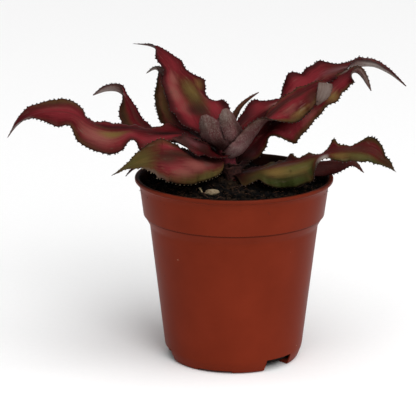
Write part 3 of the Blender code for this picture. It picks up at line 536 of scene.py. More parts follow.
def blade_finish():
    """Living Cryptanthus blade: a firm, slightly succulent leaf with red pigment over green.

    The skin is satin, not glossy. Pigment lies in streaks along the leaf, because its
    veins run side by side, 0.9 mm apart. The underside is thick with pale scurf scales
    0.3 mm across, drawn at 0.5 mm, because finer ones would not show. The blade attribute
    gives millimetres across and along each leaf, and its number.
    """
    finish, add = new_finish("cryptanthus_blade")
    place = add("Attribute", take="Vector", attribute_name="blade")
    streaks, patches, bands = (
        add("TexNoise", {"Vector": add("VectorMath", {0: place, 1: stretch}, operation="MULTIPLY"),
                         "Scale": 1.0, "Detail": detail, "Roughness": rough})
        for stretch, detail, rough in (((1.1, 0.10, 7.0), 5.0, 0.62), ((0.55, 0.26, 3.0), 7.0, 0.72),
                                       ((0.10, 0.45, 5.0), 4.0, 0.6)))
    colour = add("Mix", {0: add("MapRange", {"Value": streaks, 1: 0.30, 2: 0.70}),
                         6: "#390B0D", 7: "#591419"}, **COLOURS)
    broken = add("Math", {0: add("Math", {0: patches, 1: streaks}, operation="ADD"), 1: 0.55, 2: -0.55},
                 operation="MULTIPLY_ADD")
    amounts = {}
    for pigment, shade in PIGMENTS.items():
        amount = add("Attribute", take="Fac", attribute_name=pigment)
        amount = add("Math", {0: amount, 1: broken}, operation="ADD")
        amounts[pigment] = add("MapRange", {"Value": amount, 1: 0.08, 2: 0.92})
        if pigment not in LAID_LAST:
            colour = add("Mix", {0: amounts[pigment], 6: colour, 7: shade}, **COLOURS)

    scales = add("TexVoronoi", {
        "Vector": add("VectorMath", {0: place, 1: (2.0, 1.5, 1.0)}, operation="MULTIPLY"),
        "Scale": 1.0}, take="Distance")
    scurf = add("Math", {0: add("MapRange", {"Value": scales, 1: 0.62, 2: 0.20}),
                         1: add("MapRange", {"Value": bands, 1: 0.32, 2: 0.62, 3: 0.35})},
                operation="MULTIPLY")
    tone = add("Mix", {0: add("MapRange", {"Value": patches, 1: 0.37, 2: 0.63}),
                       6: "#452D2D", 7: "#5F4D48"}, **COLOURS)
    beneath = add("Mix", {0: 0.5, 6: colour, 7: tone}, **COLOURS)
    beneath = add("Mix", {0: add("Math", {0: scurf, 1: 0.26}, operation="MULTIPLY"),
                          6: beneath, 7: "#93877E"}, **COLOURS)
    under = add("Attribute", take="Fac", attribute_name="under")
    colour = add("Mix", {0: under, 6: colour, 7: beneath}, **COLOURS)
    for pigment in LAID_LAST:
        colour = add("Mix", {0: amounts[pigment], 6: colour, 7: PIGMENTS[pigment]}, **COLOURS)

    across = add("SeparateXYZ", {0: place})
    veins = add("Math", {0: add("Math", {0: across, 1: 7.0}, operation="MULTIPLY")}, operation="SINE")
    relief = add("Math", {0: scales, 1: -0.5, 2: streaks}, operation="MULTIPLY_ADD")
    relief = add("Math", {0: veins, 1: 0.16, 2: relief}, operation="MULTIPLY_ADD")
    roughness = add("MapRange", {"Value": patches, 1: 0.3, 2: 0.7, 3: 0.44, 4: 0.60})
    surface(add, colour, roughness, relief, 0.35, 0.25, Specular_IOR_Level=0.04)
    return finish


def spine_finish(name, root, point):
    """Horny margin teeth: the leaf's own edge, hardened as it dried.

    They are slightly shiny, with a paler point than root.
    """
    finish, add = new_finish(name)
    share = add("Attribute", take="Fac", attribute_name="spine_share")
    colour = add("Mix", {0: add("MapRange", {"Value": share, 1: 0.35, 2: 1.0}),
                         6: root, 7: point}, **COLOURS)
    spot = add("TexCoord", take="Object")
    grain = add("TexNoise", {"Vector": spot, "Scale": per(0.4), "Detail": 2.0})
    surface(add, colour, 0.45, grain, 0.2, 0.1, Specular_IOR_Level=0.35)
    return finish


def pot_finish():
    """Injection-moulded polypropylene in a terracotta colour.

    It is smooth from the mould with a dull satin skin, so its highlight is faint and wide.
    Handling leaves a soft mottle, and splashes leave a few dark and pale specks, up to
    0.9 mm across. The inside, the top of the lip (widest at the back), the lip's face and
    a line under the collar's edge are darkened nearly black as painted shade.
    """
    finish, add = new_finish("terracotta_polypropylene")
    spot = add("TexCoord", take="Object")
    mottle = add("TexNoise", {"Vector": spot, "Scale": per(22.222), "Detail": 5.0, "Roughness": 0.6})
    colour = add("Mix", {0: add("MapRange", {"Value": mottle, 1: 0.3, 2: 0.7}),
                         6: "#672312", 7: "#722816"}, **COLOURS)
    # The shift takes the pale specks to another part of their pattern, so far off that a
    # rounder distance between them would move them.
    for shift, apart, radius, shade in ((0.0, 4.3478, 0.4348, "#2C150F"),
                                        (3.7, 5.26316, 0.3421, "#B28D78")):
        dots = add("TexVoronoi", {"Vector": add("VectorMath", {0: spot, 1: (shift, shift, 0.0)}),
                                  "Scale": per(apart)}, take="Distance")
        sparse = add("TexNoise", {"Vector": add("VectorMath", {0: spot, 1: (0.0, shift, shift)}),
                                  "Scale": per(16.66667), "Detail": 2.0})
        reach = add("MapRange", {"Value": sparse, 1: 0.57, 2: 0.70, 3: 0.0, 4: radius / apart})
        fleck = add("Math", {0: dots, 1: reach}, operation="LESS_THAN")
        colour = add("Mix", {0: add("Math", {0: fleck, 1: 0.75}, operation="MULTIPLY"),
                             6: colour, 7: shade}, **COLOURS)
    # Painted shade: the marked places are darkened towards #190E0A, a little unevenly with the mottle.
    painted_darkening = add("Math", {0: add("Attribute", take="Fac", attribute_name="painted_shade_mask"),
                         1: add("MapRange", {"Value": mottle, 1: 0.35, 2: 0.6, 3: 0.82, 4: 1.0})},
                operation="MULTIPLY")
    colour = add("Mix", {0: painted_darkening, 6: colour, 7: "#190E0A"}, **COLOURS)
    skin = add("TexNoise", {"Vector": spot, "Scale": per(1.111), "Detail": 3.0})
    roughness = add("MapRange", {"Value": mottle, 1: 0.3, 2: 0.7, 3: 0.34, 4: 0.42})
    surface(add, colour, roughness, skin, 0.12, 0.1, Specular_IOR_Level=0.03, IOR=1.49)
    return finish


def mix_finish():
    """Damp peat-based potting mix: nearly black, rough, with brown crumbs that take no shine.

    Round the stem it is browner, because old leaf bases have rotted into it.
    """
    finish, add = new_finish("peat_potting_mix_crumb")
    spot = add("TexCoord", take="Object")
    lumps = add("TexNoise", {"Vector": spot, "Scale": per(3.333), "Detail": 6.0, "Roughness": 0.7})
    skirt = tuple(MM * p for p in STEM_SKIRT)
    away = add("VectorMath", {0: spot, 1: skirt}, take="Value", operation="DISTANCE")
    tone = add("Math", {0: add("MapRange", {"Value": lumps, 1: 0.50, 2: 0.82}),
                        1: add("MapRange", {"Value": away, 1: 4 * MM, 2: 12 * MM, 3: 0.22, 4: 0.0})},
               operation="ADD")
    colour = add("Mix", {0: tone, 6: "#050404", 7: "#3B2B1D"}, **COLOURS)
    surface(add, colour, 0.92, lumps, 0.7, 0.5, Specular_IOR_Level=0.07)
    return finish


# Stuff with a fibrous or stony grain: its darkest and lightest colour, the grain's size in
# millimetres, its roughness and the depth of its relief.
GRAINED = {
    # Coir, torn from coconut husks: dry and dull, browner than the peat it lies in.
    "coir_fibre": ("#2A1A10", "#54392A", 0.8, 0.9, 0.1),
    # A stone worn smooth by water: matt and creamy, with browner hollows.
    "water_worn_stone": ("#55432F", "#92836A", 1.6, 0.7, 0.15),
    # Softwood, split along its grain and dried: pale, fibrous, without shine.
    "dry_split_wood": ("#7A6546", "#B7A583", 0.9, 0.85, 0.12),
    # The stem's own skin, gone corky with age: dull, and crimson where it still lives.
    "stem_bark": ("#35100F", "#6E2329", 1.4, 0.75, 0.2),
    # Bases of leaves that have died and dried: brown, dull and thin as paper.
    "dry_leaf_sheath": ("#1A0B09", "#472721", 1.2, 0.8, 0.15),
    # Bases of leaves that still live: firm, crimson, and a little smoother.
    "fresh_leaf_sheath": ("#45141C", "#702C34", 1.6, 0.6, 0.12),
}


def grained_finish(name):
    """One of the grained materials, whose colour runs from dark to light from grain to grain."""
    low, high, size, roughness, depth = GRAINED[name]
    finish, add = new_finish(name)
    grain = add("TexNoise", {"Vector": add("TexCoord", take="Object"), "Scale": per(size),
                             "Detail": 5.0, "Roughness": 0.65})
    colour = add("Mix", {0: add("MapRange", {"Value": grain, 1: 0.33, 2: 0.68}),
                         6: low, 7: high}, **COLOURS)
    surface(add, colour, roughness, grain, 0.6, depth, Specular_IOR_Level=0.2)
    return finish


def floor_finish():
    """Matt white studio board: an even, faintly grained paper face with no shine."""
    finish, add = new_finish("matt_white_floor")
    grain = add("TexNoise", {"Vector": add("TexCoord", take="Object"), "Scale": per(2.5)})
    colour = add("Mix", {0: grain, 6: "#F8F8F8", 7: "#FCFCFC"}, **COLOURS)
    surface(add, colour, 0.9, grain, 0.02, 0.1, Specular_IOR_Level=0.1)
    return finish


# --- trees that repeat small shapes ----------------------------------------------------------

def new_tree(name, sizes):
    """A Geometry Nodes tree, the way to add a node to it, and what it is given."""
    tree = bpy.data.node_groups.new(name, "GeometryNodeTree")
    for way in ("OUTPUT", "INPUT"):
        tree.interface.new_socket("Geometry", in_out=way, socket_type="NodeSocketGeometry")
    for key, kind in {**sizes, "Finish": "Material"}.items():
        tree.interface.new_socket(key, in_out="INPUT", socket_type=f"NodeSocket{kind}")
    return tree, partial(node, tree), tree.nodes.new("NodeGroupInput").outputs


def end_tree(tree, add, given, copies):
    """Joins the copies, made real and given their material, to the piece that they grow on."""
    real = add("RealizeInstances", {"Geometry": copies})
    coated = add("SetMaterial", {"Geometry": real, "Material": given["Finish"]})
    joined = tree.nodes.new("GeometryNodeJoinGeometry")
    for part in (coated, given["Geometry"]):
        tree.links.new(part, joined.inputs[0])
    tree.links.new(joined.outputs[0], tree.nodes.new("NodeGroupOutput").inputs[0])
    return tree


def spine_tree():
    """Hooked teeth that stand out from a leaf's margin, wherever its points are marked."""
    tree, add, given = new_tree(
        "leaf_spines", {"Length": "Float", "Base Radius": "Float", "Hook": "Float"})
    marked, outward, onward = (
        add("InputNamedAttribute", {"Name": name}, data_type=kind)
        for name, kind in (("spine", "FLOAT"), ("outward", "FLOAT_VECTOR"), ("onward", "FLOAT_VECTOR")))
    cone = add("MeshCone", {"Vertices": 6, "Side Segments": 3, "Depth": given["Length"],
                            "Radius Top": 0.0, "Radius Bottom": given["Base Radius"]}, fill_type="NONE")
    rise = add("SeparateXYZ", {0: add("InputPosition")}, take=2)
    share = add("Math", {0: rise, 1: given["Length"]}, operation="DIVIDE")
    cone = add("StoreNamedAttribute", {"Geometry": cone, "Name": "spine_share", "Value": share},
               data_type="FLOAT", domain="POINT")
    lean = add("Math", {0: add("Math", {0: share, 1: share}, operation="MULTIPLY"), 1: given["Hook"]},
               operation="MULTIPLY")
    hooked = add("SetPosition", {"Geometry": cone, "Offset": add("CombineXYZ", {0: lean})})
    hooked = add("SetShadeSmooth", {"Geometry": hooked, "Shade Smooth": True})
    turn = add("AlignRotationToVector", {"Vector": outward}, axis="Z")
    turn = add("AlignRotationToVector", {"Rotation": turn, "Vector": onward}, axis="X", pivot_axis="Z")
    copies = add("InstanceOnPoints", {
        "Points": given["Geometry"], "Instance": hooked, "Rotation": turn,
        "Selection": add("Compare", {0: marked, 1: 0.05}, operation="GREATER_THAN"),
        "Scale": add("CombineXYZ", {0: marked, 1: marked, 2: marked})})
    return end_tree(tree, add, given, copies)


def scatter_tree(name, make_shape):
    """Loose bits that lie on the part of a piece that is marked as its crust."""
    tree, add, given = new_tree(name, {"Density": "Float", "Size": "Float", "Seed": "Int"})
    crust = add("InputNamedAttribute", {"Name": "crust"}, data_type="FLOAT")
    spots = add("DistributePointsOnFaces", {
        "Mesh": given["Geometry"], "Density": given["Density"], "Seed": given["Seed"],
        "Selection": add("Compare", {0: crust, 1: 0.5}, operation="GREATER_THAN")})
    turn = add("RandomValue", {0: (-0.5, -0.5, 0.0), 1: (0.5, 0.5, 6.283), "Seed": 5},
               data_type="FLOAT_VECTOR")
    stretch = add("RandomValue", {0: (0.45, 0.45, 0.35), 1: (1.4, 1.3, 1.0), "Seed": given["Seed"]},
                  data_type="FLOAT_VECTOR")
    size = add("VectorMath", {0: stretch, "Scale": given["Size"]}, operation="SCALE")
    copies = add("InstanceOnPoints", {"Points": spots, "Instance": make_shape(add), "Rotation": turn,
                                      "Scale": size})
    return end_tree(tree, add, given, copies)


def shaken(add, shape, scale, detail, middle, reach):
    """A shape whose points a noise has pushed about, so that no part of it is regular."""
    push = add("TexNoise", {"Scale": scale, "Detail": detail}, take="Color")
    push = add("VectorMath", {0: push, 1: middle}, operation="SUBTRACT")
    push = add("VectorMath", {0: push, 1: reach}, operation="MULTIPLY")
    return add("SetPosition", {"Geometry": shape, "Offset": push})


def crumb_shape(add):
    """An angular lump of about one unit across."""
    ball = add("MeshIcoSphere", {"Radius": 0.5, "Subdivisions": 2})
    return shaken(add, ball, 1.7, 2.0, (0.5, 0.5, 0.5), (1.1, 1.1, 1.1))


def fibre_shape(add):
    """A crooked root fibre, ten units long."""
    line = add("CurvePrimitiveLine", {"Start": (-5.0, 0.0, 0.0), "End": (5.0, 0.0, 0.0)})
    line = add("ResampleCurve", {"Curve": line, "Count": 9})
    line = shaken(add, line, 0.35, 1.0, (0.5, 0.5, 0.4), (2.0, 5.0, 2.0))
    ring = add("CurvePrimitiveCircle", {"Resolution": 4, "Radius": 0.22})
    return add("CurveToMesh", {"Curve": line, "Profile Curve": ring, "Fill Caps": True})


# --- leaf blades -----------------------------------------------------------------------------

def stem_axis(share):
    """A point on the stem's axis, from 0 at its root to 1 at the heart of the rosette."""
    root, heart = np.array(STEM_ROOT), np.array(STEM_HEART)
    return root + share * (heart - root)


def stem_radius(share):
    return STEM_ROOT_RADIUS + share * (STEM_HEART_RADIUS - STEM_ROOT_RADIUS)


def leaf_stations(leaf):
    """The stations that the table gives, after the foot's own place inside the stem.

    A fold has no foot, because it starts on its leaf.
    """
    rows = list(leaf["stations"])
    if "foot" in leaf:
        share, azimuth, *rest = leaf["foot"]
        angle = math.radians(azimuth)
        reach = stem_radius(share) - FOOT_DEPTH
        foot = stem_axis(share) + reach * np.array([math.cos(angle), math.sin(angle), 0.0])
        rows.insert(0, (*foot, *rest))
    return np.array(rows, dtype=float)


def blend(t, low, high, before, after):
    """What lies between two values at t, where low stands for the first and high for the second."""
    return (high - t) / (high - low) * before + (t - low) / (high - low) * after


def smooth_curve(rows, per_span=48):
    """A centripetal Catmull-Rom curve through the rows, whose first three columns are a place."""
    ends = np.vstack([2 * rows[0] - rows[1], rows, 2 * rows[-1] - rows[-2]])
    steps = np.sqrt(np.linalg.norm(np.diff(ends[:, :3], axis=0), axis=1))
    knots = np.concatenate([[0.0], np.cumsum(steps)])
    curve = []
    for i in range(1, len(ends) - 2):
        t0, t1, t2, t3 = knots[i - 1:i + 3]
        t = np.linspace(t1, t2, per_span, endpoint=False)[:, None]
        a1 = blend(t, t0, t1, ends[i - 1], ends[i])
        a2 = blend(t, t1, t2, ends[i], ends[i + 1])
        a3 = blend(t, t2, t3, ends[i + 1], ends[i + 2])
        curve.append(blend(t, t1, t2, blend(t, t0, t2, a1, a2), blend(t, t1, t3, a2, a3)))
    curve.append(ends[-2][None, :])
    return np.vstack(curve)


def leaf_frames(midrib, facing):
    """The way across (to the right) and the way up from the blade, along a midrib.

    The way across stays level while the leaf climbs and arches, and turns slowly where
    the tip bends right over. A leaf that stands nearly upright states the direction that
    it faces away from the heart instead, in degrees anticlockwise from +X.
    """
    along = unit(np.gradient(midrib, axis=0))
    if facing is None:
        across = np.cross(along, (0.0, 0.0, 1.0))
    else:
        turn = math.radians(facing)
        across = np.tile((math.sin(turn), -math.cos(turn), 0.0), (len(midrib), 1))
    for i in range(1, len(across)):
        if across[i] @ across[i - 1] < 0:
            across[i] = -across[i]
    window = max(3, len(midrib) // 8)
    padded = np.pad(across, ((window, window), (0, 0)), mode="edge")
    kernel = np.hanning(2 * window + 1)
    across = np.stack([np.convolve(padded[:, k], kernel, mode="valid") for k in range(3)], axis=1)
    across = unit(across - np.sum(across * along, axis=1, keepdims=True) * along)
    return across, np.cross(across, along)


def half_section(angle, share):
    """How far across and up a half blade has come, at a share of its width from the midrib."""
    start, bend = SLOPE_START * angle, SLOPE_GAIN * angle
    bend = np.where(np.abs(bend) < 1e-4, 1e-4, bend)
    end = start + bend * share
    return (np.sin(end) - np.sin(start)) / bend, (np.cos(start) - np.cos(end)) / bend


def waves(reach, length, rng):
    """A wavy line along a margin, between -1 and 1, whose waves are about as long as stated."""
    total = np.zeros_like(reach)
    for stretch, weight in ((1.0, 0.6), (1.7, 0.35), (0.62, 0.25)):
        total += weight * np.sin(2 * math.pi * reach / (length * stretch) + rng.uniform(0, 2 * math.pi))
    return total


def blade_grid(leaf, rng):
    """The middle surface of a blade, as rows of points, with how far along and across they are."""
    curve = smooth_curve(leaf_stations(leaf))
    reach = run_length(curve[:, :3])
    table = np.hstack([curve, *leaf_frames(curve[:, :3], leaf.get("facing"))])
    run = np.linspace(0.0, reach[-1], math.ceil(reach[-1] / ROW_SPACING) + 1)
    table = np.stack([np.interp(run, reach, column) for column in table.T], axis=1)
    midrib, half_width, sideways, up = table[:, :3], table[:, 3], table[:, 6:9], table[:, 9:12]
    share_run = run / run[-1]
    steps = np.arange(-COLUMNS, COLUMNS + 1) / COLUMNS
    across = np.sign(steps) * (1.0 - (1.0 - np.abs(steps)) ** COLUMN_CROWDING)
    fade = smooth_step(share_run, 0.05, 0.25) * smooth_step(1 - share_run, 0.0, 0.12)
    grid = np.empty((len(run), len(across), 3))
    for side, column, lobes in ((-1, 4, "left_lobes"), (1, 5, "right_lobes")):
        angle = np.radians(table[:, column])
        ruffle = RUFFLE[0] * waves(run, RUFFLE[1], rng) + CRINKLE[0] * waves(run, CRINKLE[1], rng)
        ruffle *= fade * np.minimum(1.0, half_width / 8.0)
        wide = half_width.copy()
        for at, length, wider, *higher in leaf.get(lobes, ()):
            swell = np.exp(-np.abs((share_run - at) / length) ** 1.7)
            wide += wider * swell
            ruffle += sum(higher) * swell
        wide = np.maximum(wide, LEAST_HALF_WIDTH)
        for j, share in enumerate(across):
            if share * side < 0 or (share == 0 and side < 0):
                continue
            out, rise = half_section(angle, abs(share))
            slope = angle * (SLOPE_START + SLOPE_GAIN * abs(share))
            lift = ruffle * smooth_step(abs(share), 0.45, 1.0)
            grid[:, j] = (midrib + (wide * side * out - lift * side * np.sin(slope))[:, None] * sideways
                          + (wide * rise + lift * np.cos(slope))[:, None] * up)
    return grid, run, across, half_width


def spine_rows(margin, rng):
    """How far along a margin its rows are, and the rows at which a spine stands.

    Spines stand a pitch apart, with some unevenness.
    """
    reach = run_length(margin)
    rows = []
    spot = BARE_FOOT * reach[-1]
    while spot < reach[-1] - BARE_TIP:
        rows.append(int(np.argmin(np.abs(reach - spot))))
        spot += SPINE_PITCH * rng.uniform(0.75, 1.25)
    return reach, rows


def paint(blade, leaf, share, across, under):
    """Lays down each pigment where the leaf has it, from nothing to full."""
    bloom = np.zeros_like(share)
    for pigment in PIGMENTS:
        amount = np.zeros_like(share)
        for at, side, reach, breadth, strength in leaf["paint"].get(pigment, ()):
            far = ((share - at) / reach) ** 2 + ((across - side) / breadth) ** 2
            amount = np.maximum(amount, strength * np.exp(-far ** 1.1))
        if pigment == leaf["rim"]:
            amount = np.maximum(amount, RIM_STRENGTH * smooth_step(np.abs(across), 0.62, 0.95))
        if pigment in BLOOMS:
            bloom = np.maximum(bloom, amount)
        # The dark foot is painted shade, where the leaves crowd at the heart; the thin dark edge is the
        # margin's own colour.
        if pigment == "dark":       # a thin dark edge, but where scales hide it, and a dark foot
            edge = (0.6 - 0.5 * bloom) * smooth_step(np.abs(across), 0.92, 1.0)
            foot = leaf.get("foot_shade", PAINTED_FOOT_SHADE) * (1.0 - smooth_step(share, 0.04, 0.20))
            amount = np.maximum.reduce([amount, edge, foot])
        store(blade, pigment, amount)
    store(blade, "under", under)


def make_blade(name, leaf, seed, finish):
    """One leaf: a closed blade with a channelled midrib and a toothed, ruffled margin."""
    rng = random.Random(seed)
    grid, run, across, half_width = blade_grid(leaf, rng)
    lengthwise = unit(np.gradient(grid, axis=0))
    crosswise = unit(np.gradient(grid, axis=1))
    normal = unit(np.cross(crosswise, lengthwise))
    share = run / run[-1]
    thick = MARGIN_THICKNESS + (MIDRIB_THICKNESS - MARGIN_THICKNESS) * (1.0 - np.abs(across)) ** 0.8
    tip_thin = TIP_THICKNESS + (1.0 - TIP_THICKNESS) * smooth_step(1.0 - share, 0.0, 0.25)
    thick = thick[None, :] * tip_thin[:, None] * np.minimum(1.0, half_width / 2.0)[:, None]
    # The channel dips the top by most of its depth, and stands out below as a low keel.
    groove = leaf.get("channel", MIDRIB_GROOVE[0]) * np.exp(
        -(half_width[:, None] * across[None, :] / MIDRIB_GROOVE[1]) ** 2)
    groove *= (smooth_step(share, 0.05, 0.2) * smooth_step(1 - share, 0.02, 0.15))[:, None]
    top = grid + (0.5 * thick - 0.75 * groove)[:, :, None] * normal
    bottom = grid - (0.5 * thick + 0.45 * groove)[:, :, None] * normal

    # Each row is a loop round the blade: over the top, the right rim, back below, the left rim.
    last, count = len(across) - 1, len(run)
    around = 2 * last + 4
    sizes, outward, onward = (np.zeros((count, around, *vector)) for vector in ((), (3,), (3,)))
    rim = {}
    for side, j, slot in ((-1, 0, around - 1), (1, last, last + 1)):
        reach, rows = spine_rows(grid[:, j], rng)
        cushion = np.zeros(count)
        for row in rows:
            far = np.abs(reach - reach[row]) / (SPINE_CUSHION[1] * SPINE_PITCH)
            cushion = np.maximum(cushion, 1.0 - far)
        push = 0.5 * thick[:, j] + SPINE_CUSHION[0] * cushion ** 1.5 * np.minimum(1.0, half_width / 4.0)
        rim[side] = grid[:, j] + push[:, None] * side * crosswise[:, j]
        for row in rows:
            sizes[row, slot] = rng.uniform(0.7, 1.2) * min(1.0, 0.45 + half_width[row] / 8.0)
        outward[:, slot] = side * crosswise[:, j] + 0.35 * lengthwise[:, j]
        onward[:, slot] = lengthwise[:, j]
    loops = np.concatenate([top, rim[1][:, None], bottom[:, ::-1], rim[-1][:, None]], axis=1)
    faces = lattice(count, around)
    for start, order in ((0, -1), ((count - 1) * around, 1)):
        cap = [(start + last, start + last + 1, start + last + 2)]
        cap += [(start + j, start + j + 1, start + 2 * last + 1 - j, start + 2 * last + 2 - j)
                for j in range(last)]
        cap.append((start, start + 2 * last + 2, start + around - 1))
        faces += [face[::order] for face in cap]
    blade = mesh_object(name, loops.reshape(-1, 3), faces)

    share_all, run_all, wide_all = (np.repeat(values, around) for values in (share, run, half_width))
    across_all = np.tile([*across, 1.0, *across[::-1], -1.0], count)
    under = np.tile([0.0] * len(across) + [0.1] + [1.0] * len(across) + [0.1], count)
    number = np.full(len(run_all), float(seed))
    store(blade, "blade", np.stack([wide_all * across_all, run_all, number], axis=1), "FLOAT_VECTOR")
    paint(blade, leaf, share_all, across_all, under)
    store(blade, "spine", sizes)
    store(blade, "outward", outward, "FLOAT_VECTOR")
    store(blade, "onward", onward, "FLOAT_VECTOR")
    blade.data.materials.append(finish)
    return blade


# --- pot -------------------------------------------------------------------------------------

def filleted(corners, arc_steps=5):
    """A profile whose corners, given as (radius, z, rounding), are each turned into an arc."""
    profile = []
    for i, (r, z, rounding) in enumerate(corners):
        here = np.array((r, z))
        if rounding == 0 or i in (0, len(corners) - 1):
            profile.append((r, z))
            continue
        before = unit(np.array(corners[i - 1][:2]) - here) * rounding
        after = unit(np.array(corners[i + 1][:2]) - here) * rounding
        for t in np.linspace(0.0, 1.0, arc_steps):
            profile.append(tuple(here + (1 - t) ** 2 * before + t ** 2 * after))
    return profile


def turned(name, profile, steps):
    """A closed body turned round the axis from a profile that starts and ends on it."""
    points, rings = [], []
    for r, z in profile:
        if r < 1e-9:
            rings.append([len(points)])
            points.append((0.0, 0.0, z))
            continue
        rings.append(list(range(len(points), len(points) + steps)))
        for k in range(steps):
            angle = 2 * math.pi * k / steps
            points.append((r * math.cos(angle), r * math.sin(angle), z))
    faces = []
    for first, second in zip(rings, rings[1:]):
        for k in range(steps):
            a, b = first[k % len(first)], first[(k + 1) % len(first)]
            c, d = second[(k + 1) % len(second)], second[k % len(second)]
            faces.append(tuple(dict.fromkeys((d, c, b, a))))
    return mesh_object(name, points, faces)


def cut(thing, cutter):
    """Takes a cutter's shape out of a piece."""
    step = thing.modifiers.new("cut", "BOOLEAN")
    step.operation, step.solver, step.object = "DIFFERENCE", "EXACT", cutter
    settle(thing)
    bpy.data.objects.remove(cutter)


def foot_cutter(azimuth, size):
    """A block that cuts one notch or recess through the foot ring."""
    radial, along, high = size
    angle = math.radians(azimuth)
    middle = FOOT_RADIUS + FOOT_CUT_START - 0.5 * radial
    points = []
    for z in (-1.0, high):
        for dr, da in ((-0.5, -0.5), (0.5, -0.5), (0.5, 0.5), (-0.5, 0.5)):
            r, s = middle + dr * radial, da * along
            points.append((r * math.cos(angle) - s * math.sin(angle),
                           r * math.sin(angle) + s * math.cos(angle), z))
    faces = [(3, 2, 1, 0), (4, 5, 6, 7), (0, 1, 5, 4), (1, 2, 6, 5), (2, 3, 7, 6), (3, 0, 4, 7)]
    return mesh_object("foot_cut", points, faces)


def step_corners(inset, rise):
    """The step from the collar down to the body, set in from the outer face and raised."""
    return [(COLLAR_FOOT[0] - inset, COLLAR_FOOT[1] + rise, 1.1),
            (BODY_TOP[0] - inset, BODY_TOP[1] + rise, 1.1)]


def make_pot():
    """The moulded shell, turned from one profile, with the cuts through its foot."""
    lip_inside = LIP_RADIUS - LIP_WIDTH
    lip_foot = POT_HEIGHT - LIP_BAND
    ledge_radius = COLLAR_FOOT[0] - LEDGE
    pad_radius, pad_z = GATE_PAD
    outer = [
        (LIP_RADIUS, POT_HEIGHT, LIP_ROUND), (LIP_RADIUS - 0.1, lip_foot, 0.5),
        (COLLAR_TOP[0] + 0.9, lip_foot - 0.5, 0.5), (*COLLAR_TOP, 0.9), (*COLLAR_FOOT, 0.3),
        (ledge_radius, COLLAR_FOOT[1] + 0.1, 0.1), (ledge_radius - 0.1, COLLAR_FOOT[1] - LEDGE, 0.3),
        (*BODY_TOP, 1.1), (*BODY_FOOT, 1.5), (FOOT_RADIUS, 0.0, 0.9)]
    under = [
        (FOOT_RING_INNER_RADIUS, 0.0, 0.5), (FOOT_RING_INNER_RADIUS - 0.6, FLOOR_UNDERSIDE_Z, 0.4),
        (pad_radius + 0.6, FLOOR_UNDERSIDE_Z, 0.4), (pad_radius, pad_z, 0.3), (0.0, pad_z, 0.0)]
    inner = [
        (0.0, FLOOR_TOP_Z, 0.0), (BODY_FOOT[0] - WALL - 1.0, FLOOR_TOP_Z, 1.0),
        (BODY_FOOT[0] - WALL, BODY_FOOT[1], 1.0), *reversed(step_corners(WALL, STEP_RISE)),
        (COLLAR_TOP[0] - WALL, COLLAR_TOP[1], 1.0), (lip_inside - 0.5, POT_HEIGHT - 1.0, 0.6),
        (lip_inside + 0.2, POT_HEIGHT, 0.4)]
    pot = turned("pot_shell", filleted(inner + outer + under), POT_STEPS)
    for azimuths, size in ((NOTCH_AZIMUTHS, NOTCH_SIZE), (RECESS_AZIMUTHS, RECESS_SIZE)):
        for azimuth in azimuths:
            cut(pot, foot_cutter(azimuth, size))
    pot.data.set_sharp_from_angle(angle=math.radians(50))

    x, y, z = np.array([vertex.co / MM for vertex in pot.data.vertices]).T
    from_axis = np.hypot(x, y)
    wall = np.interp(z, *zip((0.0, FOOT_RADIUS), BODY_FOOT[::-1], BODY_TOP[::-1], COLLAR_FOOT[::-1],
                             COLLAR_TOP[::-1], (POT_HEIGHT, LIP_RADIUS - LIP_OVERHANG)))
    # Painted shade: these masks darken the inside wall, the lip's top (more widely at the back), a line
    # under the collar's ledge and the lip's face.
    inside = (z > FLOOR_TOP_Z - 0.1) & (from_axis < wall - 0.6 * WALL)
    lip_top = (z > POT_HEIGHT - 0.9) & (from_axis < LIP_RADIUS - np.where(y < 0.0, 0.7, 0.2))
    under_ledge = np.abs(z - COLLAR_FOOT[1] + 0.5 * LEDGE) < 0.5 * LEDGE + 0.15
    band = z > lip_foot - 0.2
    store(pot, "painted_shade_mask", np.select([inside, lip_top, under_ledge, band],
                                  [PAINTED_SHADE_INSIDE, PAINTED_SHADE_LIP, PAINTED_SHADE_LEDGE, PAINTED_SHADE_BAND], 0.0))
    pot.data.materials.clear()
    pot.data.materials.append(pot_finish())
    finished(pot, "pot")


# --- potting mix and what lies on it ------------------------------------------------------------

def mix_height(radius):
    """The height of the potting mix, at a distance from the pot's axis."""
    return float(np.interp(radius, (MIX_CROWN_RADIUS, COLLAR_TOP[0] - WALL), (MIX_CROWN_Z, MIX_EDGE_Z)))


def lumpiness(x, y, seed):
    """How far the mix rises or dips at a place, in millimetres."""
    return sum(height * noise.noise(Vector((x / size, y / size, seed + size)))
               for size, height in MIX_LUMPS)


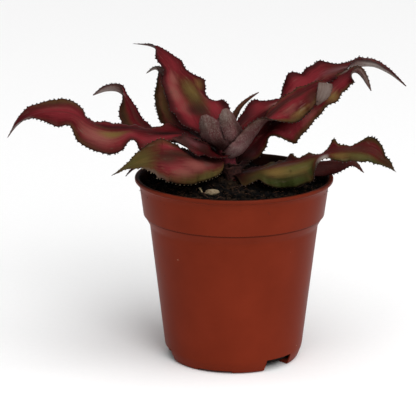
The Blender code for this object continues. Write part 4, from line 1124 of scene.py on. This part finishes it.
def make_mix():
    """The filling of the pot: a lumpy mound with crumbs and root fibres."""
    edge = COLLAR_TOP[0] - WALL - MIX_RIM_GAP
    foot = BODY_FOOT[0] - WALL - MIX_GAP
    profile = [(0.0, FLOOR_TOP_Z + MIX_GAP), (foot - 2.0, FLOOR_TOP_Z + MIX_GAP),
               (foot, BODY_FOOT[1] + MIX_GAP)]
    profile += [corner[:2] for corner in reversed(step_corners(WALL + MIX_GAP, STEP_RISE + MIX_GAP))]
    profile += [(r, mix_height(r)) for r in np.linspace(0.0, edge, 62)[::-1]]
    mix = turned("potting_mix_mound", profile, 150)
    crust = []
    for vertex in mix.data.vertices:
        x, y, z = vertex.co / MM
        on_top = z > BODY_TOP[1] + 12.0
        crust.append(1.0 if on_top and math.hypot(x, y) < edge - 0.4 else 0.0)
        if on_top:
            vertex.co.z += lumpiness(x, y, 4.0) * MM * (0.4 if math.hypot(x, y) > edge - 1.0 else 1.0)
    store(mix, "crust", crust)
    peat, coir = mix_finish(), grained_finish("coir_fibre")
    mix.data.materials.append(peat)
    crumbs, fibres = scatter_tree("mix_crumbs", crumb_shape), scatter_tree("mix_fibres", fibre_shape)
    layers = [(crumbs, *bits, peat) for bits in CRUMBS] + [(fibres, *FIBRES, coir)]
    for tree, density, size, seed, finish in layers:
        grow(mix, tree, Density=density, Size=size * MM, Seed=seed, Finish=finish)
    finished(mix, "potting_mix")


def make_pebble():
    """A pebble, worn round by water but not even, that has sunk a little into the mix."""
    x, y = PEBBLE_PLACE
    length, width, height = PEBBLE_SIZE
    steps, rings = 40, 24
    middle = Vector((x, y, mix_height(math.hypot(x, y)) + PEBBLE_REST * height))
    points = [middle + Vector((0, 0, -0.5 * height))]
    for i in range(1, rings):
        tilt = math.pi * i / rings
        for k in range(steps):
            turn = 2 * math.pi * k / steps
            way = Vector((math.sin(tilt) * math.cos(turn), math.sin(tilt) * math.sin(turn),
                          -math.cos(tilt)))
            swell = 1.0 + 0.14 * noise.noise(2.2 * way + Vector((3, 1, 2))) + 0.04 * noise.noise(7 * way)
            points.append(middle + 0.5 * swell * Vector((way.x * length, way.y * width, way.z * height)))
    points.append(middle + Vector((0, 0, 0.5 * height)))
    faces = fan(1, steps, 0, -1) + lattice(rings - 1, steps, first=1)
    faces += fan(1 + (rings - 2) * steps, steps, len(points) - 1)
    pebble = mesh_object("pebble_stone", points, faces)
    pebble.data.materials.append(grained_finish("water_worn_stone"))
    finished(pebble, "pebble")


def tube(name, middle, radii, sides, uneven, seed):
    """A round body along a line of points, closed at both ends, with an uneven skin."""
    middle = np.asarray(middle, dtype=float)
    along = unit(np.gradient(middle, axis=0))
    side = unit(np.cross(along, (0.31, 0.95, 0.05)))    # a way in which none of the lines runs
    other = np.cross(along, side)
    points = []
    for i, radius in enumerate(radii):
        for k in range(sides):
            turn = 2 * math.pi * k / sides
            x, y = math.cos(turn), math.sin(turn)
            swell = 1.0 + uneven * noise.noise(Vector((1.3 * x, 1.3 * y, 0.5 * i + seed)))
            points.append(middle[i] + radius * swell * (x * side[i] + y * other[i]))
    hub, last_ring = len(points), (len(radii) - 1) * sides
    points += [middle[0], middle[-1]]
    faces = lattice(len(radii), sides) + fan(0, sides, hub, -1) + fan(last_ring, sides, hub + 1)
    return mesh_object(name, points, faces)


def make_sliver():
    """A split of dry wood that lies on the mix."""
    start, end = (np.array(p) for p in SLIVER_ENDS)
    middle, radii = [], []
    for share in np.linspace(0.0, 1.0, 14):
        x, y = start + share * (end - start)
        middle.append((x, y, mix_height(math.hypot(x, y)) + SLIVER_REST + 0.25 * math.sin(5 * share)))
        radii.append(SLIVER_RADIUS * (1.0 - 0.45 * share) * (0.55 if share in (0.0, 1.0) else 1.0))
    sliver = tube("wood_splinter", middle, radii, 12, 0.5, 3.0)
    sliver.data.materials.append(grained_finish("dry_split_wood"))
    finished(sliver, "wood_sliver")


# --- stem ------------------------------------------------------------------------------------

def sheath_points(share, azimuth, wrap, height, stand):
    """A torn leaf base that wraps part of the way round the stem, as rows of places."""
    grid = []
    rows, columns = 9, 15
    for up in (i / (rows - 1) for i in range(rows)):
        row = []
        for k in range(columns):
            turn = math.radians(azimuth + wrap * (k / (columns - 1) - 0.5))
            torn = 1.0 + 0.28 * noise.noise(Vector((4.0 * k / columns, share * 9, azimuth)))
            lift = share + up * torn * height / (STEM_HEART[2] - STEM_ROOT[2])
            radius = stem_radius(min(lift, 1.0)) + 0.30 + stand * up ** 2
            radius += 0.22 * noise.noise(Vector((3 * up, 6.0 * k / columns, azimuth + 3)))
            row.append(stem_axis(lift) + radius * np.array((math.cos(turn), math.sin(turn), 0.0)))
        grid.append(row)
    return np.array(grid)


def make_stem():
    """A short stem, hidden in the clasping bases of leaves that have gone."""
    rng = random.Random(31)
    bark, dry, fresh = range(3)     # the places of its three materials
    shares = np.linspace(0.0, 1.0, 40)
    radii = [stem_radius(s) * (1.0 + 0.05 * math.sin(40 * s)) for s in shares[:-1]] + [STEM_END_RADIUS]
    parts = [(tube("stem_core", [stem_axis(s) for s in shares], radii, 32, 0.12, 1.0), bark)]
    for i in range(SHEATHS):
        azimuth = (SHEATH_TURN * i + 20.0) % 360.0
        wrap, height, stand = rng.uniform(110, 170), rng.uniform(4.0, 6.5), rng.uniform(0.7, 1.7)
        stand += 2.4 * max(0.0, math.cos(math.radians(azimuth)))    # they gape on the right
        grid = sheath_points(SHEATH_START + SHEATH_RISE * i, azimuth, wrap, height, stand)
        faces = lattice(*grid.shape[:2], closed=False)
        sheath = mesh_object(f"sheath_{i}", grid.reshape(-1, 3), faces)
        sheath.modifiers.new("wall", "SOLIDIFY").thickness = SHEATH_WALL * MM
        # The newer ones on the left still live.
        parts.append((sheath, fresh if i >= DEAD_SHEATHS and 150.0 < azimuth < 270.0 else dry))
    whole = bmesh.new()
    for part, slot in parts:
        mesh = evaluated_mesh(part)
        mesh.polygons.foreach_set("material_index", [slot] * len(mesh.polygons))
        whole.from_mesh(mesh)
    for part, slot in parts:
        bpy.data.objects.remove(part)
    stem = mesh_object("stem_with_sheaths", np.zeros((0, 3)), [])
    whole.to_mesh(stem.data)
    whole.free()
    stem.data.shade_smooth()
    for finish in ("stem_bark", "dry_leaf_sheath", "fresh_leaf_sheath"):
        stem.data.materials.append(grained_finish(finish))
    finished(stem, "stem")


# --- studio ------------------------------------------------------------------------------------

def put(name, data, place=(0.0, 0.0, 0.0), turn=(0.0, 0.0, 0.0)):
    """Stands a lamp or a camera in the scene."""
    stand = bpy.data.objects.new(name, data)
    stand.location, stand.rotation_euler = place, turn
    bpy.context.scene.collection.objects.link(stand)
    return stand


def make_studio():
    """The white floor, the even light from above and in front, and the camera."""
    bpy.ops.mesh.primitive_plane_add(size=FLOOR_SIZE, location=(0.0, 0.0, FLOOR_Z))
    floor = bpy.context.object
    floor.name = "studio_floor"
    floor.data.materials.append(floor_finish())

    world = bpy.data.worlds.new("studio")
    world.use_nodes = True
    background = world.node_tree.nodes["Background"].inputs
    background["Color"].default_value = (1.0, 1.0, 1.0, 1.0)
    background["Strength"].default_value = AMBIENT
    bpy.context.scene.world = world
    sky = bpy.data.lights.new("overhead_softbox", "SUN")
    sky.energy, sky.angle = SUN_STRENGTH, SUN_ANGLE
    put("overhead_softbox", sky, turn=SUN_TURN)
    for name, place, width, watts in LAMPS:
        lamp = bpy.data.lights.new(name, "AREA")
        lamp.size, lamp.energy = width, watts
        put(name, lamp, place, (Vector(LAMP_TARGET) - Vector(place)).to_track_quat("-Z", "Y").to_euler())

    camera = bpy.data.cameras.new("camera")
    camera.lens, camera.sensor_width = CAMERA_LENS, 36.0
    camera.clip_start, camera.clip_end = 0.02, 20.0
    bpy.context.scene.camera = put("camera", camera, CAMERA_PLACE, CAMERA_TURN)
    bpy.context.scene.view_settings.view_transform = "Standard"


make_studio()
make_pot()
make_mix()
make_stem()
make_pebble()
make_sliver()
skin, spines = blade_finish(), spine_tree()
# Most teeth are brown with a lighter point, and those that have dried out are the colour of straw.
brown_horn = spine_finish("brown_spine_horn", "#1E0D0A", "#4A2E24")
pale_horn = spine_finish("pale_spine_horn", "#4A3A24", "#A89A80")
for order, (name, leaf) in enumerate(LEAVES.items()):
    blade = make_blade(f"blade_{name}", leaf, order + 1, skin)
    if "fold" in leaf:
        tip = make_blade("folded_tip", leaf["fold"], order + 60, skin)
        with bpy.context.temp_override(active_object=blade, selected_editable_objects=[blade, tip]):
            bpy.ops.object.join()
    grow(blade, spines, Length=SPINE_SIZE[0] * MM, Base_Radius=SPINE_SIZE[1] * MM,
         Hook=SPINE_SIZE[2] * MM, Finish=pale_horn if name in PALE_TOOTHED else brown_horn)
    finished(blade, f"leaf_{name}")
